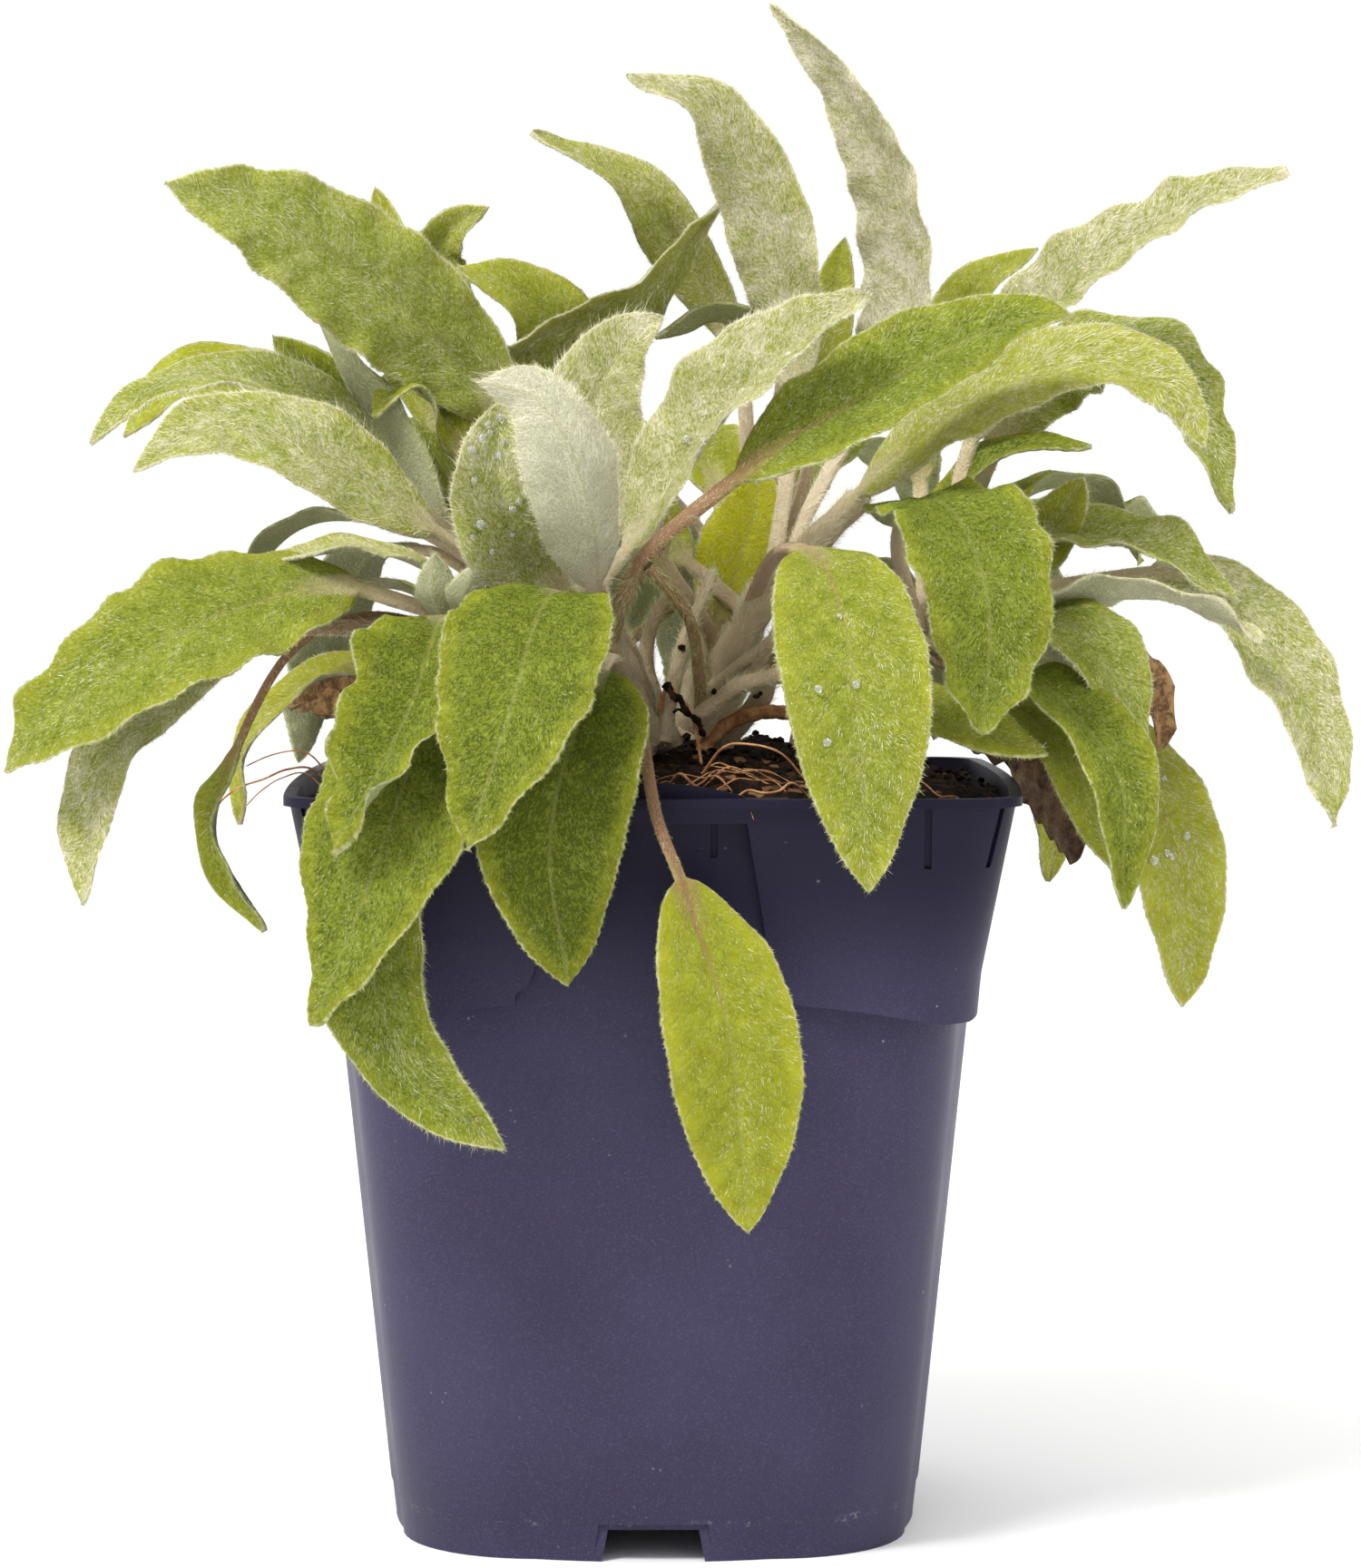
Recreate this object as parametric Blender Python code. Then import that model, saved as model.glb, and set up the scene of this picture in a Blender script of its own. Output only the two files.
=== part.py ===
"""Lamb's ear (Stachys byzantina) with its square nursery pot, as closed solids.

The pot is a thin-walled tapered tub with a stepped collar, two label recesses
and a notched foot. Soil fills it. Six leafy shoots stand in plain holes in the
soil, each one solid of a stem with its leaves, and withered leaves and a
surface root stand beside them. X is to the right of the pot's label side, Y is
to its back and Z is up. The origin is on the ground under the middle of the
plant's outline. Sizes below are in millimetres.
"""

import math
import random
from collections import namedtuple

import bmesh
import bpy
from mathutils import Vector

MM = 0.001
TOUCH_GAP = 0.3  # clearance between neighbours that touch
SLIVER = 0.005  # edges shorter than this are merged after a Boolean

# Pot: every wall is a square with bowed sides and round corners, lofted in Z.
POT_X = -5.0  # the foliage reaches further to the right than to the left
RIM_Z = 142.3
LIP_HEIGHT = 1.7
LIP_HALF = 69.0
LIP_INNER_HALF = 66.9
WALL = 1.3
FOOT_TOP = 7.5
FOOT_STEP = 0.25
FLOOR_UNDER = 6.0
FLOOR_TOP = 7.6
BODY_HALF_AT_FOOT = 50.6
BODY_TAPER = 0.101
BODY_CORNER_FOOT = 26.0
BODY_CORNER_RIM = 18.0
BODY_BOW_FOOT = 2.6
BODY_BOW_RIM = 4.5
COLLAR_FOOT_Z = 99.5
COLLAR_SHOULDER_Z = 109.0
COLLAR_FOOT_HALF = 58.8
COLLAR_SHOULDER_HALF = 62.4
COLLAR_TOP_HALF = 67.8
COLLAR_CORNER_SHOULDER = 15.0
COLLAR_CORNER_RIM = 9.0
COLLAR_BOW = 2.0
LIP_CORNER = 10.0
CUT_START = 90.0  # cutters start this far from the axis, clear of every wall
CORNER_STEPS = 4
BODY_SIDE_STEPS = 3
COLLAR_SIDE_STEPS = 4

# Label recess in the front and back of the collar, with the arched tongue behind it.
RECESS_TOP_Z = 137.9
RECESS_TOP_HALF = 17.0
RECESS_LOW_Z = 111.0
RECESS_LOW_HALF = 21.4
RECESS_FOOT_HALF = 26.0
TONGUE_HALF = 16.5
TONGUE_RISE = 2.7
TONGUE_THICK = 0.9
TONGUE_STEPS = 8
GUARD_MARGIN = 3.0  # plastic left standing each side of the recess
GUARD_DEPTH = 55.0

# Short upright grooves in the collar.
GROOVE_WIDTH = 1.3
GROOVE_DEPTH = 0.6
GROOVE_OFFSET = 49.5
GROOVE_LOW_Z = 129.5
RECESS_GROOVE_OFFSET = 11.0
RECESS_GROOVE_LOW_Z = 131.5

# Foot notches and drain holes.
NOTCH_LOW_HALF = 9.9
NOTCH_TOP_HALF = 8.4
NOTCH_FRAME_EXTRA = 1.7
NOTCH_FRAME_DEPTH = 0.5
DRAIN_RADIUS = 4.5
DRAIN_CIRCLE = 29.0
PUNCH_LENGTH = 8.0

# Soil: a mound whose edge lies just under the rim.
SOIL_EDGE_Z = 139.0
SOIL_CROWN = 9.5
SOIL_SPREAD = 62.0
SOIL_RINGS = (0.86, 0.66, 0.46, 0.27)
HOLE_FLOOR_Z = 131.0
HOLE_LENGTH = 60.0
ROOT_RADIUS = 1.5

# Leaves and stems.
STEM_RADIUS = 3.8
PETIOLE_WIDTH = 3.2
PETIOLE_THICK = 2.4
BLADE_THICK = 1.3
EDGE_THICK = 0.8
TIP_WIDTH = 1.6

Leaf = namedtuple("Leaf", "spine width face petiole cup wave fine")


def leaf(spine, width, face, petiole=0.3, cup=14.0, wave=0.5, fine=True):
    """One leaf: its rib from stem to tip, its width, and where its upper side looks."""
    return Leaf([Vector(p) for p in spine], width, Vector(face), petiole, cup, wave, fine)


# ------------------------------------------------------------------ shoots
# A shoot is a stem path and its leaves. The first stem point is in the soil.

FRONT_STEM = ((-8, -18, 149), (-8, -20, 156), (-10, -26, 164), (-14, -32, 172), (-18, -36, 181))
FRONT_LEAVES = (
    # young silvery leaves standing in the crown
    leaf(((-17, -36, 178), (-8, -38, 189), (4, -40, 208), (18, -46, 222), (34, -54, 233)),
         26, (-0.7, -0.6, 0.35), 0.14, 32, 0.5),
    leaf(((-18, -37, 176), (-27, -44, 184), (-32, -54, 194), (-33, -57, 204), (-32, -55, 214)),
         23, (0, -1, 0.1), 0.1, 22, 0.5),
    leaf(((-16, -34, 176), (-18, -36, 193), (-20, -40, 206), (-25, -46, 215), (-33, -53, 217)),
         20, (-0.5, 0.8, 0.2), 0.12, 20, 0.4),
    leaf(((-15, -33, 174), (-15, -26, 198), (-16, -24, 213), (-11, -25, 224), (-3, -27, 230)),
         20, (-0.2, -1, 0.2), 0.2, 14, 0.5),
    # broad leaves falling over the front rim
    leaf(((-14, -31, 170), (-18, -52, 179), (-22, -70, 177), (-28, -90, 158), (-37, -93, 135)),
         34, (0, -0.5, 0.85), 0.24, 8, 0.9),
    leaf(((-12, -28, 166), (-10, -50, 166), (-12, -72, 157), (-16, -81, 135), (-18, -80, 110)),
         30, (0, -0.5, 0.85), 0.3, 8, 0.7),
    leaf(((-9, -22, 156), (-7, -50, 153), (-6, -66, 148.5), (-4, -76, 139), (-1, -79, 126),
          (6, -83, 100), (12, -79, 66)),
         29, (0, -0.5, 0.85), 0.53, 6, 0.7),
    # long brown-stalked leaf reaching to the right
    leaf(((-13, -30, 170), (-10, -40, 180), (-2, -47, 190), (22, -48, 208), (43, -46, 220),
          (60, -48, 228), (71, -52, 229)),
         24, (-0.3, -0.75, 0.6), 0.4, 10, 0.6),
)

LEFT_STEM = ((-22, -14, 149), (-26, -16, 157), (-34, -22, 166), (-41, -30, 175))
LEFT_LEAVES = (
    # the largest leaf, held out to the left
    leaf(((-40, -29, 173), (-52, -36, 177), (-62, -40, 179), (-78, -50, 176), (-97, -58, 166),
          (-113, -57, 156), (-124, -48, 146)),
         31, (-0.2, -0.85, 0.55), 0.22, 8, 0.9),
    # leaves falling over the rim's left corner
    leaf(((-41, -30, 173), (-46, -52, 173), (-50, -71, 161), (-55, -82, 147), (-61, -87, 134)),
         26, (-0.15, -0.5, 0.85), 0.16, 20, 1.6),
    leaf(((-40, -29, 170), (-44, -60, 160), (-51, -79, 140), (-57, -83, 122), (-65, -81, 103)),
         31, (-0.1, -0.5, 0.85), 0.28, 6, 0.9),
    leaf(((-37, -25, 167), (-48, -66, 150), (-56, -76, 127), (-58, -78, 109), (-50, -79, 92),
          (-31, -79, 81)),
         24, (-0.3, -0.95, 0.05), 0.4, 8, 1.0),
    # long-stalked leaves hanging below it
    leaf(((-40, -28, 172), (-59, -34, 172), (-75, -40, 171), (-93, -46, 160), (-104, -50, 145),
          (-109, -54, 122)),
         17, (-0.5, -0.8, 0.4), 0.42, 16, 0.7, False),
    leaf(((-36, -24, 169), (-58, -30, 174), (-72, -36, 167), (-83, -40, 149), (-88, -42, 133),
          (-77, -42, 116)),
         14, (-0.8, -0.5, 0.1), 0.45, 30, 0.6, False),
    leaf(((-34, -22, 165), (-60, -22, 163), (-75, -22, 155), (-82, -22, 145), (-83, -22, 135)),
         12, (-0.6, -0.5, 0.6), 0.3, 20, 0.6, False),
    leaf(((-39, -27, 174), (-46, -34, 183), (-61, -38, 187), (-76, -40, 184)),
         13, (0, -0.2, 1), 0.3, 12, 0.4, False),
    leaf(((-38, -25, 171), (-51, -27, 179), (-67, -28, 180)),
         12, (0, 0, 1), 0.3, 10, 0.4, False),
    # buds of the crown
    leaf(((-40, -29, 171), (-45, -42, 177), (-45, -44, 186)), 10, (0.3, 1, 0.2), 0.1, 24, 0.3, False),
    leaf(((-38, -27, 169), (-40, -44, 176), (-37, -48, 184)), 10, (0.3, 1, 0.4), 0.1, 24, 0.3, False),
)

BACK_LEFT_STEM = ((-16, 0, 150), (-19, 0, 159), (-28, -4, 171), (-36, -8, 185))
BACK_LEFT_LEAVES = (
    leaf(((-33, -7, 181), (-32, -7, 198), (-35, -9, 211), (-46, -14, 222), (-60, -22, 235),
          (-76, -30, 247), (-95, -36, 254)),
         26, (-0.3, -0.9, 0.35), 0.24, 10, 0.9),
    leaf(((-36, -6, 184), (-40, 2, 208), (-47, 6, 238), (-45, 5, 247), (-37, 2, 252)),
         12, (0.3, -0.8, 0.3), 0.4, 24, 0.4, False),
    leaf(((-36, -5, 184), (-50, 12, 219), (-60, 22, 257)), 13, (-0.2, -1, 0.3), 0.35, 16, 0.4, False),
    # two leaves one above the other, bowed out to the left
    leaf(((-36, -8, 183), (-52, -12, 199), (-65, -16, 212), (-84, -20, 219), (-99, -24, 216),
          (-110, -28, 206)),
         17, (-0.2, -0.55, 0.8), 0.2, 6, 0.6),
    leaf(((-36, -9, 182), (-48, -22, 192), (-68, -30, 206), (-86, -34, 211), (-101, -38, 202)),
         20, (-0.15, -0.75, 0.65), 0.22, 6, 0.6),
    leaf(((-37, -6, 183), (-62, 8, 208), (-81, 12, 222), (-97, 10, 225), (-108, 6, 214)),
         17, (-0.2, -0.8, 0.6), 0.35, 8, 0.6, False),
    # narrow leaves standing between them
    leaf(((-37, -7, 183), (-52, -6, 198), (-66, -4, 215), (-78, -4, 227)),
         15, (-0.5, -0.8, 0.5), 0.25, 14, 0.4, False),
    leaf(((-36, -8, 183), (-47, -12, 194), (-60, -12, 213), (-69, -10, 231)),
         14, (0.7, 0.5, 0.5), 0.2, 26, 0.4, False),
    leaf(((-36, -7, 185), (-43, -10, 208), (-51, -14, 218), (-58, -18, 211)),
         11, (-0.2, -0.5, 0.9), 0.4, 20, 0.5, False),
    leaf(((-35, -5, 181), (-40, 3, 194), (-42, 7, 208)), 12, (0, -1, 0.3), 0.25, 10, 0.4, False),
)

CENTRE_STEM = ((7, -4, 150), (8, -4, 158), (11, -6, 167), (17, -4, 181))
CENTRE_LEAVES = (
    # the tallest leaf, and the one bowed to the left beside it
    leaf(((16, -3, 177), (25, 4, 194), (37, 10, 219), (42, 12, 236), (39, 8, 256), (30, 2, 275),
          (17, -6, 290)),
         21, (-0.55, -0.8, 0.25), 0.3, 22, 0.6),
    leaf(((17, -2, 178), (21, 4, 205), (23, 5, 233), (18, 2, 255), (7, -4, 272), (-10, -12, 276)),
         18, (-0.4, -0.8, 0.55), 0.34, 12, 0.5),
    # bowed out to the right
    leaf(((15, -6, 173), (29, -16, 191), (40, -24, 203), (56, -29, 215), (76, -32, 221),
          (91, -34, 216), (97, -35, 205)),
         25, (0, -0.6, 0.8), 0.3, 10, 0.6),
    # hangs in front of the rim on an arched stalk
    leaf(((11, -8, 168), (16, -30, 183), (21, -50, 187), (27, -70, 181), (31, -85, 160), (33, -85, 127)),
         30, (0, -0.5, 0.85), 0.42, 8, 0.7),
    # small yellowing leaf, and the small ones around the stalks
    leaf(((9, -4, 160), (6, 0, 170), (10, 4, 180), (14, 5, 192), (16, 6, 202)),
         16, (0, -1, 0.2), 0.3, 6, 0.4, False),
    leaf(((15, -2, 172), (-2, 6, 187), (-10, 6, 198), (-11, 4, 213)),
         14, (0, -1, 0.3), 0.35, 8, 0.4, False),
    leaf(((17, 0, 179), (25, 11, 204), (20, 13, 222), (8, 8, 231), (-5, 2, 227)),
         13, (0.6, 0.5, 0.6), 0.4, 12, 0.4, False),
    leaf(((9, -4, 163), (4, -12, 173), (-2, -20, 182), (-10, -16, 196), (-15, -10, 210)),
         13, (0, -1, 0.3), 0.5, 8, 0.4, False),
)

RIGHT_STEM = ((25, 2, 150), (31, 2, 158), (41, 0, 167), (51, -4, 176))
RIGHT_LEAVES = (
    # folded over towards the front
    leaf(((46, -3, 171), (41, -24, 186), (42, -42, 195), (48, -57, 193), (54, -68, 176), (54, -69, 154)),
         29, (0.05, -0.5, 0.85), 0.34, 8, 0.8),
    leaf(((49, -3, 174), (51, 4, 194), (63, 2, 205), (79, -2, 206)),
         13, (0, -0.4, 1), 0.3, 10, 0.4, False),
    leaf(((50, -5, 174), (64, -14, 184), (71, -18, 191), (76, -20, 200)),
         13, (-0.4, -1, 0.2), 0.3, 10, 0.4, False),
    # held out to the right, one above the other
    leaf(((50, -5, 174), (65, -18, 187), (77, -22, 189), (92, -26, 185), (104, -28, 176)),
         16, (0.1, -0.5, 0.9), 0.35, 8, 0.5, False),
    leaf(((50, -6, 172), (63, -24, 176), (76, -30, 178), (93, -34, 177), (108, -36, 170)),
         15, (0, 0.25, 1), 0.35, 10, 0.5, False),
    leaf(((47, -4, 173), (78, -8, 180), (100, -16, 180), (116, -26, 160), (122, -34, 135)),
         20, (0.5, -0.8, 0.4), 0.4, 10, 0.6),
    # falling over the right rim
    leaf(((49, -5, 171), (63, -28, 174), (73, -40, 172), (80, -46, 163), (85, -48, 151)),
         20, (0.4, -0.75, 0.6), 0.3, 8, 0.5),
    leaf(((47, -4, 169), (56, -36, 163), (66, -52, 160), (76, -60, 144), (79, -61, 122)),
         24, (0.3, -0.9, 0.4), 0.36, 10, 0.6),
    leaf(((50, -3, 171), (70, -14, 161), (85, -24, 148), (93, -30, 125), (92, -32, 101)),
         23, (0.4, -0.85, 0.4), 0.35, 12, 0.6),
    leaf(((44, -4, 168), (45, -44, 159), (54, -58, 154), (66, -63, 150)),
         15, (0, -0.7, 0.75), 0.4, 10, 0.5, False),
    leaf(((46, -2, 167), (60, -30, 159), (72, -44, 148), (79, -46, 128)),
         16, (0.4, -0.8, 0.5), 0.4, 8, 0.5, False),
    leaf(((48, -1, 168), (65, 18, 157), (74, 22, 137), (73, 22, 120)),
         14, (0.5, -0.7, 0.2), 0.4, 8, 0.4, False),
    # rising to the right
    leaf(((50, -3, 174), (55, 6, 208), (68, 0, 236), (90, -10, 251), (114, -18, 258)),
         19, (-0.4, -0.65, 0.65), 0.3, 22, 0.6),
    leaf(((47, -1, 172), (48, 22, 214), (58, 28, 237), (71, 28, 245)),
         14, (-0.4, -0.8, 0.5), 0.35, 12, 0.4, False),
    leaf(((48, -2, 170), (64, 14, 210), (85, 10, 226), (99, 4, 215), (106, 0, 193)),
         19, (0.4, -0.7, 0.6), 0.34, 8, 0.6),
)

BACK_STEM = ((2, 24, 149), (4, 26, 159), (9, 28, 172), (14, 28, 187))
BACK_LEAVES = (
    # stalk that rises behind the crown and lays its blade over to the left
    leaf(((13, 28, 182), (20, 30, 220), (18, 25, 246), (11, 17, 255), (3, 8, 247), (-10, 0, 233),
          (-26, -3, 227), (-41, -8, 220)),
         22, (0.1, -0.5, -0.9), 0.56, 10, 0.5),
    leaf(((12, 28, 180), (-12, 12, 208), (-27, 1, 232), (-43, -6, 240)),
         19, (-0.2, -0.8, 0.6), 0.4, 8, 0.6, False),
    leaf(((14, 28, 184), (15, 34, 223), (8, 30, 243), (-6, 22, 258), (-27, 12, 267)),
         14, (-0.5, -0.6, 0.6), 0.4, 18, 0.4, False),
    leaf(((14, 28, 186), (27, 36, 223), (33, 38, 248)), 12, (0, -1, 0.4), 0.3, 12, 0.4, False),
)

# Fans of leaves on the far side of three shoots: where the fan starts, the
# headings of its first and last leaf in degrees from X, and how many it has.
BACK_FAN = ((12, 29, 180), 122, 42, 7, 11)
BACK_LEFT_FAN = ((-36, -6, 182), 172, 118, 4, 12)
RIGHT_FAN = ((50, -2, 173), 66, 10, 4, 13)

# Withered leaves stand in soil holes of their own.
WITHERED = (
    ("withered_leaf_left", (-38, 6),
     leaf(((-38, 6, 132), (-38, 6, 148), (-46, 2, 157), (-60, -4, 163), (-77, -6, 157)),
          15, (-0.1, -0.7, 0.8), 0.5, 24, 1.4, False)),
    ("withered_leaf_right", (40, 24),
     leaf(((40, 24, 132), (40, 24, 149), (52, 16, 152), (67, 8, 148), (75, 4, 130)),
          14, (0.4, -0.9, 0.4), 0.5, 24, 1.4, False)),
)

# An old root arches over the soil at the front, both ends in the soil.
SURFACE_ROOT = ((4, -14, 147), (9, -13, 153), (17, -15, 155.5), (25, -17, 153.5), (30, -19, 146))


# ------------------------------------------------------------------ helpers
def material(name, colour, roughness):
    """A Principled material of one colour."""
    mat = bpy.data.materials.new(name)
    mat.use_nodes = True
    shader = mat.node_tree.nodes["Principled BSDF"]
    shader.inputs["Base Color"].default_value = (*colour, 1.0)
    shader.inputs["Roughness"].default_value = roughness
    shader.inputs["Metallic"].default_value = 0.0
    mat.diffuse_color = (*colour, 1.0)
    return mat


def add_object(name, bm, collection=None):
    """Turn a bmesh in millimetres into an object in metres."""
    bmesh.ops.scale(bm, vec=(MM, MM, MM), verts=bm.verts)
    mesh = bpy.data.meshes.new(name)
    bm.to_mesh(mesh)
    bm.free()
    obj = bpy.data.objects.new(name, mesh)
    (collection or bpy.context.scene.collection).objects.link(obj)
    return obj


def combine(target, tools, operation, solver="EXACT"):
    """Apply one Boolean of `target` with a collection of tools, then remove the tools."""
    group = bpy.data.collections.new("tools")
    bpy.context.scene.collection.children.link(group)
    for tool in tools:
        bpy.context.scene.collection.objects.unlink(tool)
        group.objects.link(tool)
    boolean = target.modifiers.new("combine", "BOOLEAN")
    boolean.operation = operation
    boolean.solver = solver
    boolean.operand_type = "COLLECTION"
    boolean.collection = group
    evaluated = target.evaluated_get(bpy.context.evaluated_depsgraph_get())
    mesh = bpy.data.meshes.new_from_object(evaluated)
    bm = bmesh.new()
    bm.from_mesh(mesh)
    bmesh.ops.dissolve_degenerate(bm, dist=SLIVER * MM, edges=bm.edges)
    bm.to_mesh(mesh)
    bm.free()
    target.modifiers.clear()
    target.data = mesh
    for tool in tools:
        bpy.data.objects.remove(tool)
    bpy.data.collections.remove(group)
    return target


def drop_scraps(obj):
    """Keep only the largest body: what a union seals in or cuts loose is removed."""
    bm = bmesh.new()
    bm.from_mesh(obj.data)
    left = set(bm.verts)
    bodies = []
    while left:
        front = [left.pop()]
        body = set(front)
        while front:
            for edge in front.pop().link_edges:
                for v in edge.verts:
                    if v in left:
                        left.remove(v)
                        body.add(v)
                        front.append(v)
        bodies.append(body)
    bodies.sort(key=len)
    for body in bodies[:-1]:
        bmesh.ops.delete(bm, geom=list(body), context="VERTS")
    bm.to_mesh(obj.data)
    bm.free()


def finish(obj, mat):
    """Give a solid its material and smooth shading."""
    obj.data.materials.clear()
    obj.data.materials.append(mat)
    obj.data.shade_smooth()
    obj.data.set_sharp_from_angle(angle=math.radians(35))


def loft(rings):
    """A closed solid through rings of equal point counts, listed from bottom to top."""
    bm = bmesh.new()
    loops = [[bm.verts.new(p) for p in ring] for ring in rings]
    count = len(loops[0])
    for low, high in zip(loops, loops[1:]):
        for i in range(count):
            j = (i + 1) % count
            bm.faces.new((low[i], low[j], high[j], high[i]))
    bm.faces.new(list(reversed(loops[0])))
    bm.faces.new(loops[-1])
    return bm


def prism(outline, y_near, y_far):
    """A solid of an (x, z) outline, drawn counter-clockwise from the front, between two depths."""
    near = [Vector((x, y_near, z)) for x, z in outline]
    far = [Vector((x, y_far, z)) for x, z in outline]
    bm = loft([far, near])
    bmesh.ops.recalc_face_normals(bm, faces=bm.faces)
    return bm


def turned(bm, degrees, x_shift=POT_X):
    """Turn a bmesh about the pot's axis, then move it there."""
    turn = math.radians(degrees)
    for v in bm.verts:
        x, y = v.co.x, v.co.y
        v.co.x = x * math.cos(turn) - y * math.sin(turn) + x_shift
        v.co.y = x * math.sin(turn) + y * math.cos(turn)
    return bm


# ------------------------------------------------------------------ pot
def square_ring(half, corner, bow, z, side_steps=COLLAR_SIDE_STEPS):
    """Points of a square with bowed sides: `half` is to the middle of a side."""
    straight = half - bow - corner
    points = []
    for quarter in range(4):
        turn = quarter * math.pi / 2
        local = []
        for i in range(1, side_steps):
            x = straight * (2 * i / side_steps - 1)
            local.append((x, -(half - bow * (x / straight) ** 2)))
        for i in range(CORNER_STEPS + 1):
            angle = math.pi / 2 * i / CORNER_STEPS
            local.append((straight + corner * math.sin(angle), -straight - corner * math.cos(angle)))
        for x, y in local:
            points.append(Vector((x * math.cos(turn) - y * math.sin(turn) + POT_X,
                                  x * math.sin(turn) + y * math.cos(turn), z)))
    return points


def body_half(z):
    """Distance from the axis to the middle of a side of the body."""
    return BODY_HALF_AT_FOOT + BODY_TAPER * z


def body_ring(z, inset=0.0):
    """The tapering body: its corners tighten and its sides bow more towards the top."""
    rise = z / RIM_Z
    corner = BODY_CORNER_FOOT + (BODY_CORNER_RIM - BODY_CORNER_FOOT) * rise - inset
    bow = BODY_BOW_FOOT + (BODY_BOW_RIM - BODY_BOW_FOOT) * rise
    return square_ring(body_half(z) - inset, corner, bow, z, BODY_SIDE_STEPS)


def collar_half(z):
    """Distance from the axis to the middle of a side of the collar."""
    climb = (z - COLLAR_SHOULDER_Z) / (RIM_Z - LIP_HEIGHT - COLLAR_SHOULDER_Z)
    return COLLAR_SHOULDER_HALF + (COLLAR_TOP_HALF - COLLAR_SHOULDER_HALF) * climb


def collar_corner(z):
    """Radius of the collar's corners."""
    climb = (z - COLLAR_SHOULDER_Z) / (RIM_Z - COLLAR_SHOULDER_Z)
    return COLLAR_CORNER_SHOULDER + (COLLAR_CORNER_RIM - COLLAR_CORNER_SHOULDER) * climb


def collar_ring(z, inset=0.0):
    return square_ring(collar_half(z) - inset, collar_corner(z) - inset, COLLAR_BOW, z)


def recess_outline():
    """The label recess: a tall panel that widens out at the collar's foot."""
    right = [(RECESS_FOOT_HALF, COLLAR_FOOT_Z - 2), (RECESS_FOOT_HALF - 1.2, 106.5),
             (RECESS_LOW_HALF + 1.0, 108.6), (RECESS_LOW_HALF, RECESS_LOW_Z),
             (RECESS_TOP_HALF, RECESS_TOP_Z)]
    return right + [(-x, z) for x, z in reversed(right)]


def recess_guards(gap):
    """Blocks behind the two label recesses, which the wide hollow and the soil leave free."""
    half = RECESS_LOW_HALF + GUARD_MARGIN + gap
    outline = [(-half, 90), (half, 90), (half, 160), (-half, 160)]
    depth = -GUARD_DEPTH + 3 * gap
    return [add_object("guard", turned(prism(outline, -CUT_START, depth), side)) for side in (0, 180)]


def tongue():
    """The arched strip that stands inside the rim, behind the label recess."""
    base = [(-TONGUE_HALF, RIM_Z - 3), (TONGUE_HALF, RIM_Z - 3)]
    arch = []
    for i in range(TONGUE_STEPS + 1):
        x = TONGUE_HALF * (1 - 2 * i / TONGUE_STEPS)
        arch.append((x, RIM_Z + 0.3 + (TONGUE_RISE - 0.3) * (1 - (x / TONGUE_HALF) ** 2)))
    inner = -(body_half(RIM_Z) - WALL)
    return prism(base + arch, inner - TONGUE_THICK, inner)


def groove(offset, z_low, z_high, surface):
    """Cutter for an upright groove: `surface` gives the wall's distance at a height."""
    def ring(z):
        y = -(surface(z) - GROOVE_DEPTH)
        half = GROOVE_WIDTH / 2
        return [Vector((offset - half, y - 5, z)), Vector((offset + half, y - 5, z)),
                Vector((offset + half, y, z)), Vector((offset - half, y, z))]
    return loft([ring(z_low), ring(z_high)])


def collar_face(offset):
    """Distance of the collar's wall from the axis, `offset` along its side."""
    def distance(z):
        straight = collar_half(z) - COLLAR_BOW - collar_corner(z)
        return collar_half(z) - COLLAR_BOW * (offset / straight) ** 2
    return distance


def collar_corner_face(z):
    """Distance of the collar's round corner from the axis, along the diagonal."""
    straight = collar_half(z) - COLLAR_BOW - collar_corner(z)
    return straight * math.sqrt(2) + collar_corner(z)


def drain_hole(x, y):
    """Cutter for a round hole through the pot's floor."""
    bm = bmesh.new()
    bmesh.ops.create_cone(bm, cap_ends=True, segments=8, radius1=DRAIN_RADIUS,
                          radius2=DRAIN_RADIUS, depth=PUNCH_LENGTH)
    bmesh.ops.translate(bm, vec=(x, y, FLOOR_UNDER + 1), verts=bm.verts)
    return bm


def notch_outline(extra, top_z):
    """The foot's notch, or with `extra` the shallow frame round it."""
    return [(-NOTCH_LOW_HALF - extra, -2), (NOTCH_LOW_HALF + extra, -2),
            (NOTCH_TOP_HALF + extra, top_z), (-NOTCH_TOP_HALF - extra, top_z)]


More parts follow.
